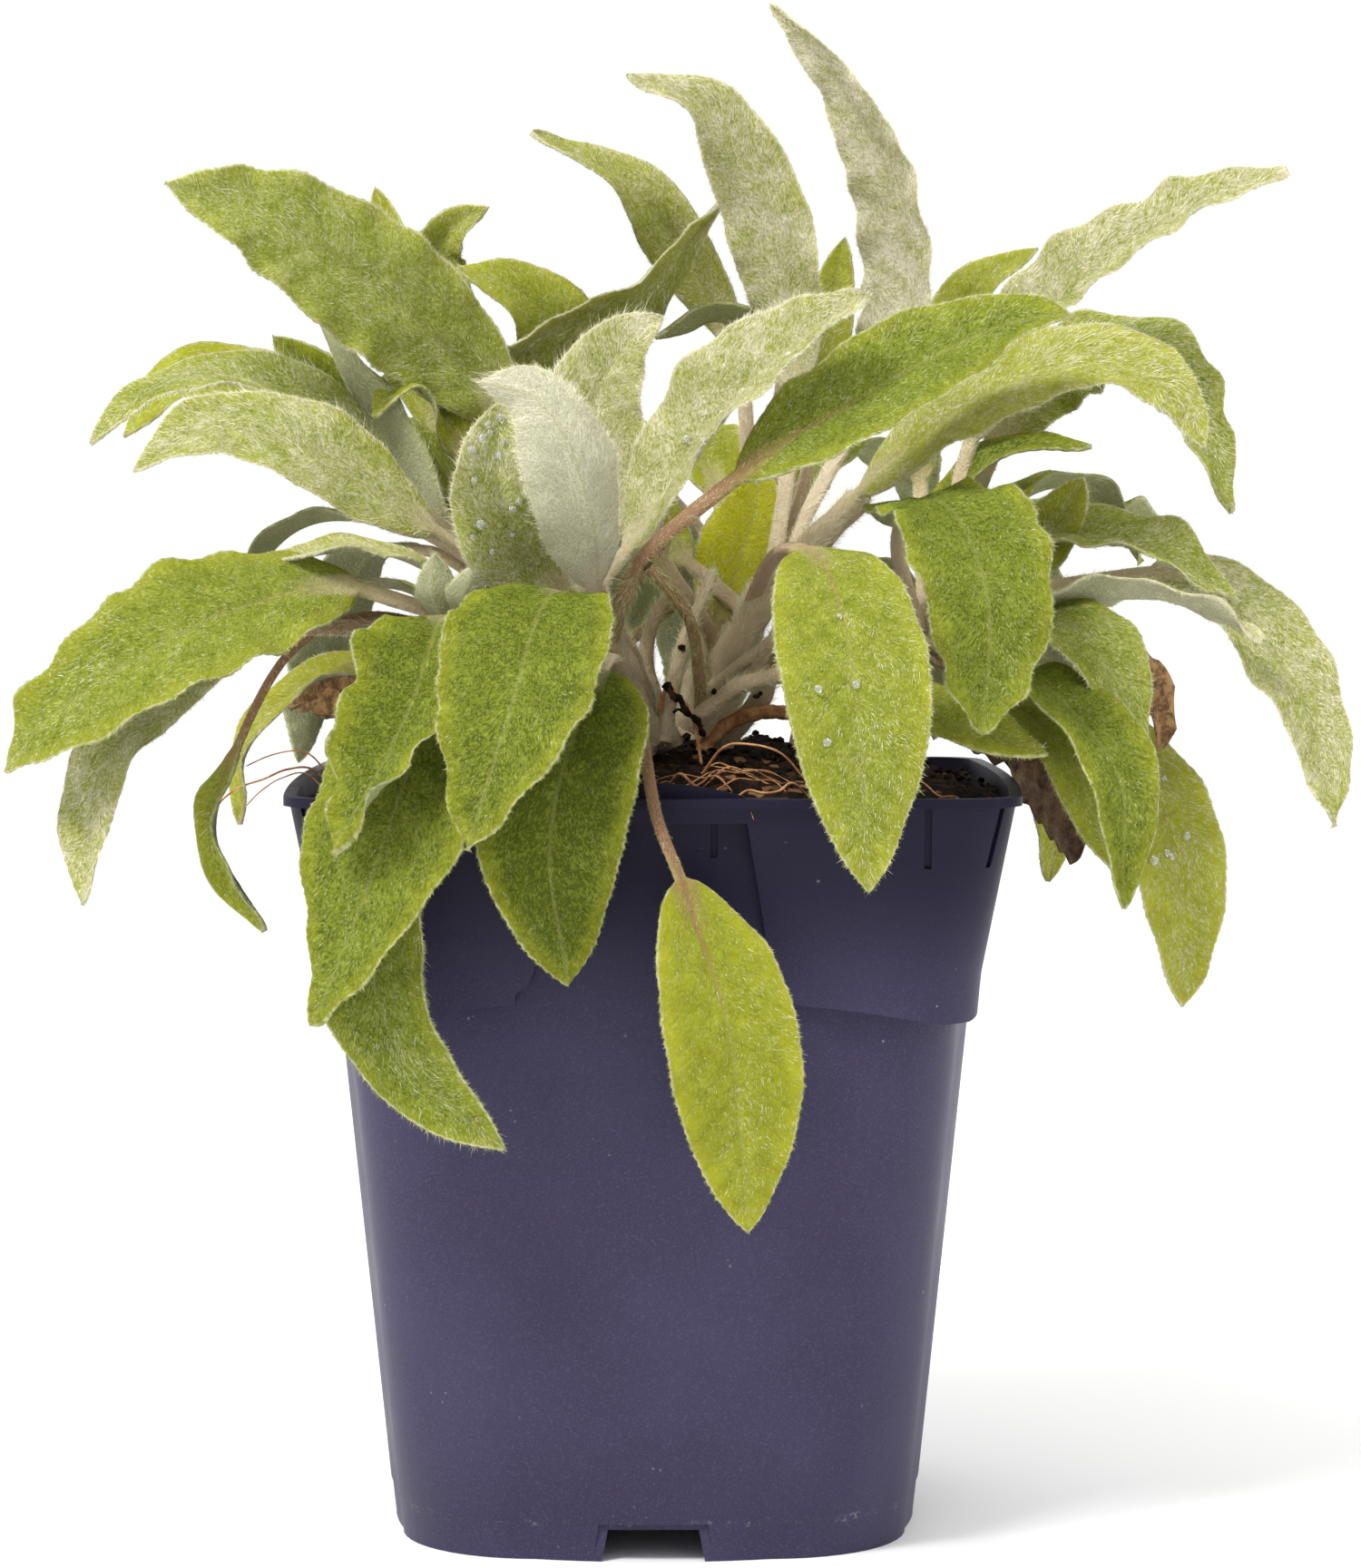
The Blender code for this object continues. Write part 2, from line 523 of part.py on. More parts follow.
def build_pot(mat):
    """One thin-walled moulding: body, collar and lip, hollowed, then cut and notched."""
    foot_inset = [body_ring(0, FOOT_STEP), body_ring(FOOT_TOP, FOOT_STEP), body_ring(FOOT_TOP + 0.3)]
    body = add_object("pot", loft(foot_inset + [body_ring(z) for z in (50, 100, RIM_Z - 0.5)]))
    lip = [square_ring(LIP_HALF, LIP_CORNER, COLLAR_BOW, z) for z in (RIM_Z - LIP_HEIGHT, RIM_Z)]
    collar_foot = square_ring(COLLAR_FOOT_HALF, COLLAR_CORNER_SHOULDER, COLLAR_BOW, COLLAR_FOOT_Z)
    collar = add_object("collar", loft(
        [collar_foot, collar_ring(COLLAR_SHOULDER_Z), collar_ring(RIM_Z - LIP_HEIGHT)] + lip))
    recess = prism(recess_outline(), -CUT_START, 40 - CUT_START)
    recesses = [add_object("recess", turned(recess.copy(), side)) for side in (0, 180)]
    combine(collar, recesses, "DIFFERENCE")
    combine(body, [collar], "UNION")

    # hollow the body, and the collar where no recess stands in front of it
    hollow = add_object("hollow", loft([body_ring(z, WALL) for z in (FLOOR_TOP, 50, 100, RIM_Z + 6)]))
    shelf_z = COLLAR_SHOULDER_Z + 1
    wide = add_object("wide", loft([collar_ring(shelf_z, WALL), collar_ring(RIM_Z - 4, WALL),
                                    square_ring(LIP_INNER_HALF, LIP_CORNER - WALL, COLLAR_BOW, RIM_Z + 2)]))
    combine(wide, recess_guards(0), "DIFFERENCE")
    under = add_object("under", loft([body_ring(-1, WALL + 0.2), body_ring(FLOOR_UNDER, WALL + 0.2)]))
    combine(body, [hollow], "DIFFERENCE")
    combine(body, [wide], "DIFFERENCE")
    combine(body, [under], "DIFFERENCE")
    combine(body, [add_object("tongue", turned(tongue(), side)) for side in (0, 180)], "UNION")

    cutters = []
    for side in (0, 90, 180, 270):
        foot_y = body_half(0)
        frame = prism(notch_outline(NOTCH_FRAME_EXTRA, FOOT_TOP - 0.4), -foot_y - 8,
                      -foot_y + FOOT_STEP + NOTCH_FRAME_DEPTH)
        notch = prism(notch_outline(0, FLOOR_UNDER - 0.05), -foot_y - 6, -foot_y + 8)
        cutters.append(add_object("frame", turned(frame, side)))
        cutters.append(add_object("notch", turned(notch, side)))
        for offset in (-GROOVE_OFFSET, GROOVE_OFFSET):
            bm = groove(offset, GROOVE_LOW_Z, RIM_Z - LIP_HEIGHT - 0.2, collar_face(offset))
            cutters.append(add_object("groove", turned(bm, side)))
        bm = groove(0, GROOVE_LOW_Z, RIM_Z - LIP_HEIGHT - 0.2, collar_corner_face)
        cutters.append(add_object("groove", turned(bm, side + 45)))
        cutters.append(add_object("drain", turned(drain_hole(0, -DRAIN_CIRCLE), side)))
    for side in (0, 180):
        for offset in (-RECESS_GROOVE_OFFSET, RECESS_GROOVE_OFFSET):
            bm = groove(offset, RECESS_GROOVE_LOW_Z, RECESS_TOP_Z - 0.2, lambda z: body_half(z) - 0.2)
            cutters.append(add_object("groove", turned(bm, side)))
    cutters.append(add_object("drain", turned(drain_hole(0, 0), 0)))
    for cutter in cutters:
        combine(body, [cutter], "DIFFERENCE")
    finish(body, mat)
    return body


# ------------------------------------------------------------------ soil
def soil_height(x, y):
    """Height of the mound: highest a little right of the pot's middle, and lumpy."""
    reach = math.hypot(x - 2, y - 4) / SOIL_SPREAD
    mound = SOIL_CROWN * max(0.0, 1 - reach ** 2)
    lumps = 0.7 * math.sin(x / 5.3 + 1.0) * math.cos(y / 4.7) + 0.5 * math.sin((x + 2 * y) / 7.1)
    return SOIL_EDGE_Z + mound + lumps * min(1.0, 2.5 * max(0.0, 1 - reach))


def build_soil(mat, holes):
    """The root ball: it fills the pot, mounds up, and has a plain hole for each stem."""
    inset = WALL + TOUCH_GAP
    core = add_object("core", loft([body_ring(z, inset) for z in (FLOOR_TOP + TOUCH_GAP, 50, 100, 138.5)]))
    edge = collar_ring(SOIL_EDGE_Z, inset)
    rings = [collar_ring(COLLAR_SHOULDER_Z + 1 + TOUCH_GAP, inset), edge]
    for fraction in SOIL_RINGS:
        ring = []
        for p in edge:
            x = POT_X + (p.x - POT_X) * fraction
            y = p.y * fraction
            ring.append(Vector((x, y, soil_height(x, y))))
        rings.append(ring)
    soil = add_object("soil", loft(rings))
    combine(soil, recess_guards(TOUCH_GAP), "DIFFERENCE")
    combine(soil, [core], "UNION")
    for x, y, radius in holes:
        bm = bmesh.new()
        bmesh.ops.create_cone(bm, cap_ends=True, segments=8, radius1=radius, radius2=radius,
                              depth=HOLE_LENGTH)
        bmesh.ops.translate(bm, vec=(x, y, HOLE_FLOOR_Z + HOLE_LENGTH / 2), verts=bm.verts)
        combine(soil, [add_object("hole", bm)], "DIFFERENCE")
    finish(soil, mat)
    return soil


# ------------------------------------------------------------------ stems and leaves
def smooth_path(points, count):
    """Evenly spaced points on a smooth curve through the given ones."""
    ends = [points[0] * 2 - points[1]] + list(points) + [points[-1] * 2 - points[-2]]
    dense = []
    for a, b, c, d in zip(ends, ends[1:], ends[2:], ends[3:]):
        for i in range(16):
            t = i / 16
            dense.append(0.5 * ((2 * b) + (c - a) * t + (2 * a - 5 * b + 4 * c - d) * t * t
                                + (3 * b - a - 3 * c + d) * t ** 3))
    dense.append(points[-1].copy())
    run = [0.0]
    for p, q in zip(dense, dense[1:]):
        run.append(run[-1] + (q - p).length)

    def at(fraction):
        want = fraction * run[-1]
        for i in range(1, len(run)):
            if run[i] >= want:
                share = (want - run[i - 1]) / max(run[i] - run[i - 1], 1e-9)
                return dense[i - 1].lerp(dense[i], share)
        return dense[-1].copy()

    if isinstance(count, int):
        return [at(i / (count - 1)) for i in range(count)]
    return [at(f) for f in count]


def tangents(path):
    """Unit directions along a path."""
    result = []
    for i in range(len(path)):
        before = path[max(i - 1, 0)]
        after = path[min(i + 1, len(path) - 1)]
        result.append((after - before).normalized())
    return result


def tube(points, radius, tip_radius, steps, sides=8):
    """A tapering round stem along a smooth path."""
    path = smooth_path([Vector(p) for p in points], steps)
    side = Vector((1, 0, 0))
    rings = []
    for i, (p, t) in enumerate(zip(path, tangents(path))):
        r = radius + (tip_radius - radius) * i / (steps - 1)
        side = (side - t * side.dot(t)).normalized()
        up = t.cross(side)
        rings.append([p + r * (math.cos(a) * side + math.sin(a) * up)
                      for a in (2 * math.pi * k / sides for k in range(sides))])
    return loft(rings)


def blade_width(share, width):
    """Half-width along the blade, from the petiole's end (0) to the tip (1)."""
    fullness = math.sin(math.pi * share ** 0.86) ** 0.8
    ends = PETIOLE_WIDTH * (1 - share) + TIP_WIDTH * share
    return (width * fullness + ends * (1 - fullness)) / 2


def leaf_mesh(lf, phase):
    """A thin closed leaf: both faces carry the same triangles."""
    blade_steps = 7 if lf.fine else 5
    stalk_steps = max(2, round(lf.petiole * (9 if lf.fine else 7)))
    across = (-1, -0.52, 0, 0.52, 1) if lf.fine else (-1, 0, 1)
    fractions = [lf.petiole * i / stalk_steps for i in range(stalk_steps)]
    shares = [(1 - math.cos(math.pi * i / blade_steps)) / 2 for i in range(blade_steps + 1)]
    fractions += [lf.petiole + (1 - lf.petiole) * s for s in shares]
    path = smooth_path(lf.spine, fractions)
    bm = bmesh.new()
    tops, unders = [], []
    for i, (p, t) in enumerate(zip(path, tangents(path))):
        share = (fractions[i] - lf.petiole) / (1 - lf.petiole)
        half = blade_width(share, lf.width) if share > 0 else PETIOLE_WIDTH / 2
        normal = (lf.face - t * lf.face.dot(t)).normalized()
        side = t.cross(normal)
        on_blade = min(1.0, max(0.0, share * 4))
        rib = PETIOLE_THICK + (BLADE_THICK - PETIOLE_THICK) * on_blade
        top, under = [], []
        for u in across:
            lift = half * abs(u) ** 1.4 * math.tan(math.radians(lf.cup)) * on_blade
            ripple = math.sin(2 * math.pi * 2.4 * share + phase + (1.3 if u > 0 else 0))
            lift += lf.wave * ripple * abs(u) ** 2 * on_blade
            thick = rib + ((EDGE_THICK if share > 0 else 1.2) - rib) * abs(u)
            centre = p + side * (u * half) + normal * lift
            top.append(bm.verts.new(centre + normal * thick / 2))
            under.append(bm.verts.new(centre - normal * thick / 2))
        tops.append(top)
        unders.append(under)
    last = len(across) - 1
    for i in range(len(tops) - 1):
        a, b = tops[i], tops[i + 1]
        c, d = unders[i], unders[i + 1]
        for k in range(last):
            bm.faces.new((a[k], b[k], b[k + 1]))
            bm.faces.new((a[k], b[k + 1], a[k + 1]))
            bm.faces.new((c[k], d[k + 1], d[k]))
            bm.faces.new((c[k], c[k + 1], d[k + 1]))
        bm.faces.new((a[0], c[0], d[0], b[0]))
        bm.faces.new((a[last], b[last], d[last], c[last]))
    for top, under, at_root in ((tops[0], unders[0], True), (tops[-1], unders[-1], False)):
        loop = top + list(reversed(under))
        bm.faces.new(loop if at_root else list(reversed(loop)))
    bmesh.ops.recalc_face_normals(bm, faces=bm.faces)
    return bm


def build_shoot(name, stem_path, leaves, mat):
    """A stem that stands in its soil hole, with its leaves fused to it."""
    foot = Vector(stem_path[0])
    root = [(foot.x, foot.y, HOLE_FLOOR_Z + TOUCH_GAP), (foot.x, foot.y, foot.z - 5)]
    stem = add_object(name, tube(root + list(stem_path), STEM_RADIUS, STEM_RADIUS * 0.8, 7))
    tools = [add_object("leaf", leaf_mesh(lf, 1.7 * i)) for i, lf in enumerate(leaves)]
    combine(stem, tools, "UNION")
    drop_scraps(stem)
    finish(stem, mat)
    return stem


def leaf_fan(crown, first, last, count, seed):
    """Leaves fanned out by turns low, drooping over the rim, and high, nearly level."""
    draw = random.Random(seed)
    crown = Vector(crown)
    leaves = []
    for i in range(count):
        heading = math.radians(first + (last - first) * i / (count - 1) + draw.uniform(-5, 5))
        out = Vector((math.cos(heading), math.sin(heading), 0))
        low = i % 2 == 0
        reach = draw.uniform(52, 62) if low else draw.uniform(60, 70)
        rise = draw.uniform(8, 14) if low else draw.uniform(22, 36)
        drop = draw.uniform(24, 44) if low else draw.uniform(-10, 2)
        heights = (0, rise * 0.8, rise * 0.9 - drop * 0.15, rise * 0.5 - drop)
        root = crown - Vector((0, 0, 1.4 * i))
        spine = [root + out * (reach * f) + Vector((0, 0, h))
                 for f, h in zip((0, 0.34, 0.7, 1.0), heights)]
        leaves.append(leaf(spine, draw.uniform(19, 26), (out.x * 0.5, out.y * 0.5, 1),
                           0.28, 10, 0.7, False))
    return tuple(leaves)


def build_withered(name, lf, mat):
    """A dry curled leaf whose stalk stands in the soil."""
    obj = add_object(name, leaf_mesh(lf, 0.5))
    finish(obj, mat)
    return obj


def build_surface_root(mat):
    """A woody root whose two ends stand in soil holes."""
    points = [Vector(p) for p in SURFACE_ROOT]
    for end, place in ((points[0], 0), (points[-1], len(points) + 1)):
        points.insert(place, Vector((end.x, end.y, HOLE_FLOOR_Z + 8)))
    root = add_object("surface_root", tube(points, ROOT_RADIUS, ROOT_RADIUS * 0.87, 12, 6))
    finish(root, mat)
    return root


def main():
    for obj in list(bpy.data.objects):
        bpy.data.objects.remove(obj)
    plastic = material("slate_plastic", (0.045, 0.045, 0.095), 0.42)
    earth = material("potting_soil", (0.028, 0.016, 0.009), 0.95)
    build_pot(plastic)
    shoots = (
        ("shoot_front", FRONT_STEM, FRONT_LEAVES, (0.36, 0.50, 0.14)),
        ("shoot_left", LEFT_STEM, LEFT_LEAVES, (0.30, 0.46, 0.10)),
        ("shoot_back_left", BACK_LEFT_STEM, BACK_LEFT_LEAVES + leaf_fan(*BACK_LEFT_FAN), (0.34, 0.48, 0.16)),
        ("shoot_centre", CENTRE_STEM, CENTRE_LEAVES, (0.38, 0.52, 0.18)),
        ("shoot_right", RIGHT_STEM, RIGHT_LEAVES + leaf_fan(*RIGHT_FAN), (0.30, 0.48, 0.12)),
        ("shoot_back", BACK_STEM, BACK_LEAVES + leaf_fan(*BACK_FAN), (0.32, 0.45, 0.16)),
    )
    holes = []
    for name, stem_path, leaves, colour in shoots:
        build_shoot(name, stem_path, leaves, material(name + "_felt", colour, 0.8))
        holes.append((stem_path[0][0], stem_path[0][1], STEM_RADIUS + TOUCH_GAP + 0.5))
    for name, (x, y), lf in WITHERED:
        build_withered(name, lf, material(name + "_dry", (0.16, 0.07, 0.03), 0.9))
        holes.append((x, y, PETIOLE_WIDTH / 2 + TOUCH_GAP + 1.0))
    build_surface_root(material("root_bark", (0.42, 0.17, 0.07), 0.7))
    for x, y, _ in (SURFACE_ROOT[0], SURFACE_ROOT[-1]):
        holes.append((x, y, ROOT_RADIUS + TOUCH_GAP + 0.4))
    build_soil(earth, holes)


main()
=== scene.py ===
"""Lamb's ear plant in its square nursery pot, dressed for looks.

Every piece is built in millimetres, with X to the right of the pot's label
side, Y to its back and Z up, and stored in metres. The studio comes first, then
the pot, the soil, the shoots with their leaves and hairs, the drops of water on
them, the withered leaves and the roots.
"""

import math
import random
from collections import namedtuple

import bmesh
import bpy
import numpy as np
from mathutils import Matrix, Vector, noise


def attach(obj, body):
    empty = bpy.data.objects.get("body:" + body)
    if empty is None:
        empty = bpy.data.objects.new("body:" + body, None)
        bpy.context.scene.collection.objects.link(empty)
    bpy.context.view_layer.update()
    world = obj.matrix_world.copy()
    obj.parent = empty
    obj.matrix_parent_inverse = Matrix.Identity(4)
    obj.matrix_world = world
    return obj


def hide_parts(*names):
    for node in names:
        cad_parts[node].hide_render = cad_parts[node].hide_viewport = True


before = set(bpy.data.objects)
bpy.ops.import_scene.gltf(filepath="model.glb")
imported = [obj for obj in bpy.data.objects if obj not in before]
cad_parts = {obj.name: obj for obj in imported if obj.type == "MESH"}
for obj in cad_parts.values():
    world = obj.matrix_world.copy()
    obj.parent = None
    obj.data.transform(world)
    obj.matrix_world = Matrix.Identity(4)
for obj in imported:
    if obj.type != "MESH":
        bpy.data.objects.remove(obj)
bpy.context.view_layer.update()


# ------------------------------------------------------------------ studio
# A seamless pale table top under broad, soft light: a large lamp high at the
# front left, a tall strip at the right whose glint runs down the pot's edge,
# and white surroundings. The camera looks slightly down at the pot's label side.
MM = 0.001
FLOOR_REACH = 9000.0
CAMERA_PLACE = (0.0, -900.0, 197.6)
CAMERA_AIM = (0.0, 0.0, 140.8)
CAMERA_LENS = 107.0
CAMERA_SENSOR = 36.0
CAMERA_CLIP = 0.05
LAMPS = (
    # name, place, width, height, power
    ("lamp_front_left", (-650, -750, 1400), 450, 450, 25.0),
    ("lamp_right_strip", (820, -160, 420), 220, 900, 1.2),
)
LAMP_AIM = (0, 0, 150)
TABLE_WHITE = (0.9, 0.9, 0.89)
TABLE_TONES = ((0.93, 0.93, 0.92), (0.96, 0.96, 0.95))
SURROUND_FRONT = 0.62
SURROUND_BACK = 1.05
SURROUND_ABOVE = 0.55


def aim(obj, place, target):
    """Put a camera or lamp at a place in millimetres and turn it to look at another."""
    obj.location = Vector(place) * MM
    look = Vector(target) - Vector(place)
    obj.rotation_euler = look.to_track_quat("-Z", "Y").to_euler()


def placed(name, data):
    """Put a mesh, lamp or camera into the scene as an object."""
    obj = bpy.data.objects.new(name, data)
    bpy.context.scene.collection.objects.link(obj)
    return obj


def add(mat, kind, settings=None, **inputs):
    """Add a shader node: settings are its properties, inputs are values or sockets by name."""
    nt = mat.node_tree
    made = nt.nodes.new("ShaderNode" + kind)
    for key, value in (settings or {}).items():
        setattr(made, key, value)
    for key, value in inputs.items():
        socket = made.inputs[int(key[1:])] if key[0] == "_" else made.inputs[key]
        if isinstance(value, bpy.types.NodeSocket):
            nt.links.new(value, socket)
        else:
            socket.default_value = value
    return made


def maths(mat, operation, a, b=0.0, clamp=False):
    """One sum of two values or sockets."""
    made = add(mat, "Math", {"operation": operation, "use_clamp": clamp}, _0=a, _1=b)
    return made.outputs[0]


def blend(mat, share, a, b, kind="MIX"):
    """Mix two colours; a plain colour is given as (r, g, b)."""
    a, b = [(*c, 1.0) if isinstance(c, tuple) and len(c) == 3 else c for c in (a, b)]
    made = add(mat, "Mix", {"data_type": "RGBA", "blend_type": kind}, _0=share, _6=a, _7=b)
    return made.outputs[2]


def step_between(mat, value, low, high, to_low=0.0, to_high=1.0):
    """A smooth step of a value from one level to another."""
    made = add(mat, "MapRange", {"interpolation_type": "SMOOTHSTEP"},
               Value=value, _1=low, _2=high, _3=to_low, _4=to_high)
    return made.outputs[0]


def new_material(name, colour, roughness, **sockets):
    """A material and its shader, with a plain colour, a roughness and any other sockets."""
    mat = bpy.data.materials.new(name)
    mat.use_nodes = True
    shader = mat.node_tree.nodes["Principled BSDF"]
    shader.inputs["Base Color"].default_value = (*colour, 1.0)
    shader.inputs["Roughness"].default_value = roughness
    for key, value in sockets.items():
        shader.inputs[key.replace("_", " ")].default_value = value
    mat.diffuse_color = (*colour, 1.0)
    return mat, shader


def connect(mat, source, shader, socket):
    mat.node_tree.links.new(source, shader.inputs[socket])


def piece_from(name, points, faces, mats=()):
    """A mesh object from points in millimetres."""
    mesh = bpy.data.meshes.new(name)
    mesh.from_pydata([Vector(p) * MM for p in points], [], faces)
    for mat in mats:
        mesh.materials.append(mat)
    return placed(name, mesh)


table_mat, table_shader = new_material("table_white", TABLE_WHITE, 0.6)
table_grain = add(table_mat, "TexNoise", Scale=6.0, Detail=3.0).outputs["Fac"]
connect(table_mat, blend(table_mat, table_grain, *TABLE_TONES), table_shader, "Base Color")
table_corners = [(FLOOR_REACH * x, FLOOR_REACH * y, 0) for x, y in ((-1, -1), (1, -1), (1, 1), (-1, 1))]
floor = piece_from("table_top", table_corners, [(0, 1, 2, 3)], [table_mat])

for lamp_name, lamp_place, lamp_width, lamp_height, lamp_power in LAMPS:
    lamp = bpy.data.lights.new(lamp_name, "AREA")
    lamp.shape = "RECTANGLE"
    lamp.size = lamp_width * MM
    lamp.size_y = lamp_height * MM
    lamp.energy = lamp_power
    aim(placed(lamp_name, lamp), lamp_place, LAMP_AIM)

world = bpy.data.worlds.new("white_surround")
world.use_nodes = True
surround = world.node_tree.nodes["Background"]
surround.inputs["Color"].default_value = (1.0, 1.0, 1.0, 1.0)
surround_way = add(world, "SeparateXYZ", Vector=add(world, "TexCoord").outputs["Generated"])
light_level = step_between(world, surround_way.outputs["Y"], 0.15, 0.85, SURROUND_FRONT, SURROUND_BACK)
light_above = step_between(world, surround_way.outputs["Z"], 0.15, 0.9, 0.0, SURROUND_ABOVE)
connect(world, maths(world, "ADD", light_level, light_above), surround, "Strength")
bpy.context.scene.world = world
bpy.context.scene.view_settings.view_transform = "Standard"

lens = bpy.data.cameras.new("camera")
lens.lens = CAMERA_LENS
lens.sensor_width = CAMERA_SENSOR
lens.clip_start = CAMERA_CLIP
camera = placed("camera", lens)
aim(camera, CAMERA_PLACE, CAMERA_AIM)
bpy.context.scene.camera = camera


# ------------------------------------------------------------------ pot
# The pot is one injection moulding of slate-blue polypropylene with a fine
# satin grain: a tapered square tub, a stepped collar with a label recess at
# front and back, an outward lip, and a foot ring notched for drainage.
POT_X = -5.0
RIM_Z = 142.3
BODY_FOOT_HALF = 50.6
BODY_FLARE = 0.101
BODY_CORNER = 26
BODY_TIGHTENING = 8
BODY_BOW = 2.6
BODY_BOW_GAIN = 1.9
LIP_HEIGHT = 1.7
LIP_HALF = 69.0
LIP_INNER_HALF = 66.9
LIP_CORNER = 10.0
WALL = 1.3
FOOT_TOP = 7.5
FOOT_STEP = 0.25
FLOOR_UNDER = 6.0
FLOOR_TOP = 7.6
COLLAR_FOOT_Z = 100.6
COLLAR_SHOULDER_Z = 109.0
COLLAR_FOOT_HALF = 61.7
COLLAR_FOOT_CORNER = 14.0
COLLAR_FOOT_RISE = 5.2
COLLAR_FOOT_SPAN = 0.85
COLLAR_SHOULDER_HALF = 62.4
COLLAR_FLARE = 5.4
COLLAR_CORNER = 15
COLLAR_TIGHTENING = 6
COLLAR_BOW = 2.0
RECESS_LOW_HALF = 21.4
RECESS = ((26.0, 97.5), (24.8, 106.5), (22.4, 108.6), (21.4, 111.0), (17.0, 137.9))
TONGUE_HALF = 16.5
TONGUE_THICK = 0.9
TONGUE_ARCH = 2.4
GROOVE_WIDTH = 1.3
GROOVE_DEPTH = 0.9
GROOVE_LOW_Z = 129.5
GROOVE_TOP_Z = RIM_Z - LIP_HEIGHT - 0.2
GROOVE_OFFSETS = (-49.5, 49.5)
RECESS_GROOVES = (-11, 11)
RECESS_GROOVE_Z = (131.5, 137.7)
NOTCH_LOW_HALF = 9.9
NOTCH_TOP_HALF = 8.4
DRAIN_RADIUS = 4.5
DRAIN_CIRCLE = 29.0
DRAIN_SIDES = 24
CORNER_STEPS = 12
BODY_SIDE_STEPS = 11
COLLAR_SIDE_STEPS = 12
EDGE_ROUNDING = 0.4
BEVELLED_FROM = math.radians(38)
SHARP_FROM = math.radians(50)
PLASTIC = (0.0395, 0.0335, 0.0715)
PLASTIC_PALE = (0.0465, 0.0395, 0.083)
PLASTIC_PAINTED_SHADE = (0.0075, 0.0065, 0.019)
PLASTIC_GLINT = (0.075, 0.07, 0.125)
DUST = (0.42, 0.40, 0.38)


def turned(x, y, z, turn):
    """A point turned by an angle about the pot's axis, and moved to where the pot stands."""
    return Vector((x * math.cos(turn) - y * math.sin(turn) + POT_X,
                   x * math.sin(turn) + y * math.cos(turn), z))


def square_ring(half, corner, bow, z, side_steps=COLLAR_SIDE_STEPS):
    """Points of a square with bowed sides: `half` is to the middle of a side."""
    straight = half - bow - corner
    points = []
    for quarter in range(4):
        turn = quarter * math.pi / 2
        local = []
        for i in range(1, side_steps):
            x = straight * (2 * i / side_steps - 1)
            local.append((x, -(half - bow * (x / straight) ** 2)))
        for i in range(CORNER_STEPS + 1):
            angle = math.pi / 2 * i / CORNER_STEPS
            local.append((straight + corner * math.sin(angle), -straight - corner * math.cos(angle)))
        points += [turned(x, y, z, turn) for x, y in local]
    return points


def body_half(z):
    """How far the tub's side is from its axis at a height."""
    return BODY_FOOT_HALF + BODY_FLARE * z


def body_ring(z, inset=0.0):
    """The tub's outline at a height: its corners tighten and its sides bow towards the rim."""
    rise = z / RIM_Z
    corner = BODY_CORNER - BODY_TIGHTENING * rise - inset
    return square_ring(body_half(z) - inset, corner, BODY_BOW + BODY_BOW_GAIN * rise, z, BODY_SIDE_STEPS)


def collar_half(z):
    """How far the collar's side is from the axis: it widens from its shoulder to the lip."""
    climb = (z - COLLAR_SHOULDER_Z) / (RIM_Z - LIP_HEIGHT - COLLAR_SHOULDER_Z)
    return COLLAR_SHOULDER_HALF + COLLAR_FLARE * climb


def collar_corner(z):
    """Radius of the collar's corners, which tighten towards the rim."""
    return COLLAR_CORNER - COLLAR_TIGHTENING * (z - COLLAR_SHOULDER_Z) / (RIM_Z - COLLAR_SHOULDER_Z)


def collar_ring(z, inset=0.0):
    return square_ring(collar_half(z) - inset, collar_corner(z) - inset, COLLAR_BOW, z)


def collar_foot_ring():
    """The collar's lower edge, which drops from the middle of a side to its corners."""
    ring = square_ring(COLLAR_FOOT_HALF, COLLAR_FOOT_CORNER, COLLAR_BOW, COLLAR_FOOT_Z)
    for p in ring:
        sideways = min(abs(p.x - POT_X), abs(p.y)) / COLLAR_FOOT_HALF
        p.z += COLLAR_FOOT_RISE * (1 - min(sideways / COLLAR_FOOT_SPAN, 1) ** 2)
    return ring


def loft(name, rings):
    """A closed solid through rings of equal point counts, listed from bottom to top."""
    count = len(rings[0])
    points = [p for ring in rings for p in ring]
    faces = []
    for low in range(len(rings) - 1):
        for i in range(count):
            j = (i + 1) % count
            a, b = low * count, (low + 1) * count
            faces.append((a + i, a + j, b + j, b + i))
    faces.append(tuple(range(count - 1, -1, -1)))
    faces.append(tuple((len(rings) - 1) * count + i for i in range(count)))
    return piece_from(name, points, faces)


def prism(name, outline, y_near, y_far, degrees=0.0):
    """A solid of an (x, z) outline between two depths, turned about the pot's axis."""
    turn = math.radians(degrees)
    obj = loft(name, [[turned(x, y, z, turn) for x, z in outline] for y in (y_far, y_near)])
    fixed = bmesh.new()
    fixed.from_mesh(obj.data)
    bmesh.ops.recalc_face_normals(fixed, faces=fixed.faces)
    fixed.to_mesh(obj.data)
    fixed.free()
    return obj


def combine(target, tools, operation):
    """Apply one Boolean of `target` with each tool, then remove the tools."""
    for tool in tools:
        boolean = target.modifiers.new("combine", "BOOLEAN")
        boolean.operation = operation
        boolean.object = tool
        evaluated = target.evaluated_get(bpy.context.evaluated_depsgraph_get())
        target.data = bpy.data.meshes.new_from_object(evaluated)
        target.modifiers.clear()
        bpy.data.objects.remove(tool)
    return target


def mirrored(half_outline):
    return list(half_outline) + [(-x, z) for x, z in reversed(half_outline)]


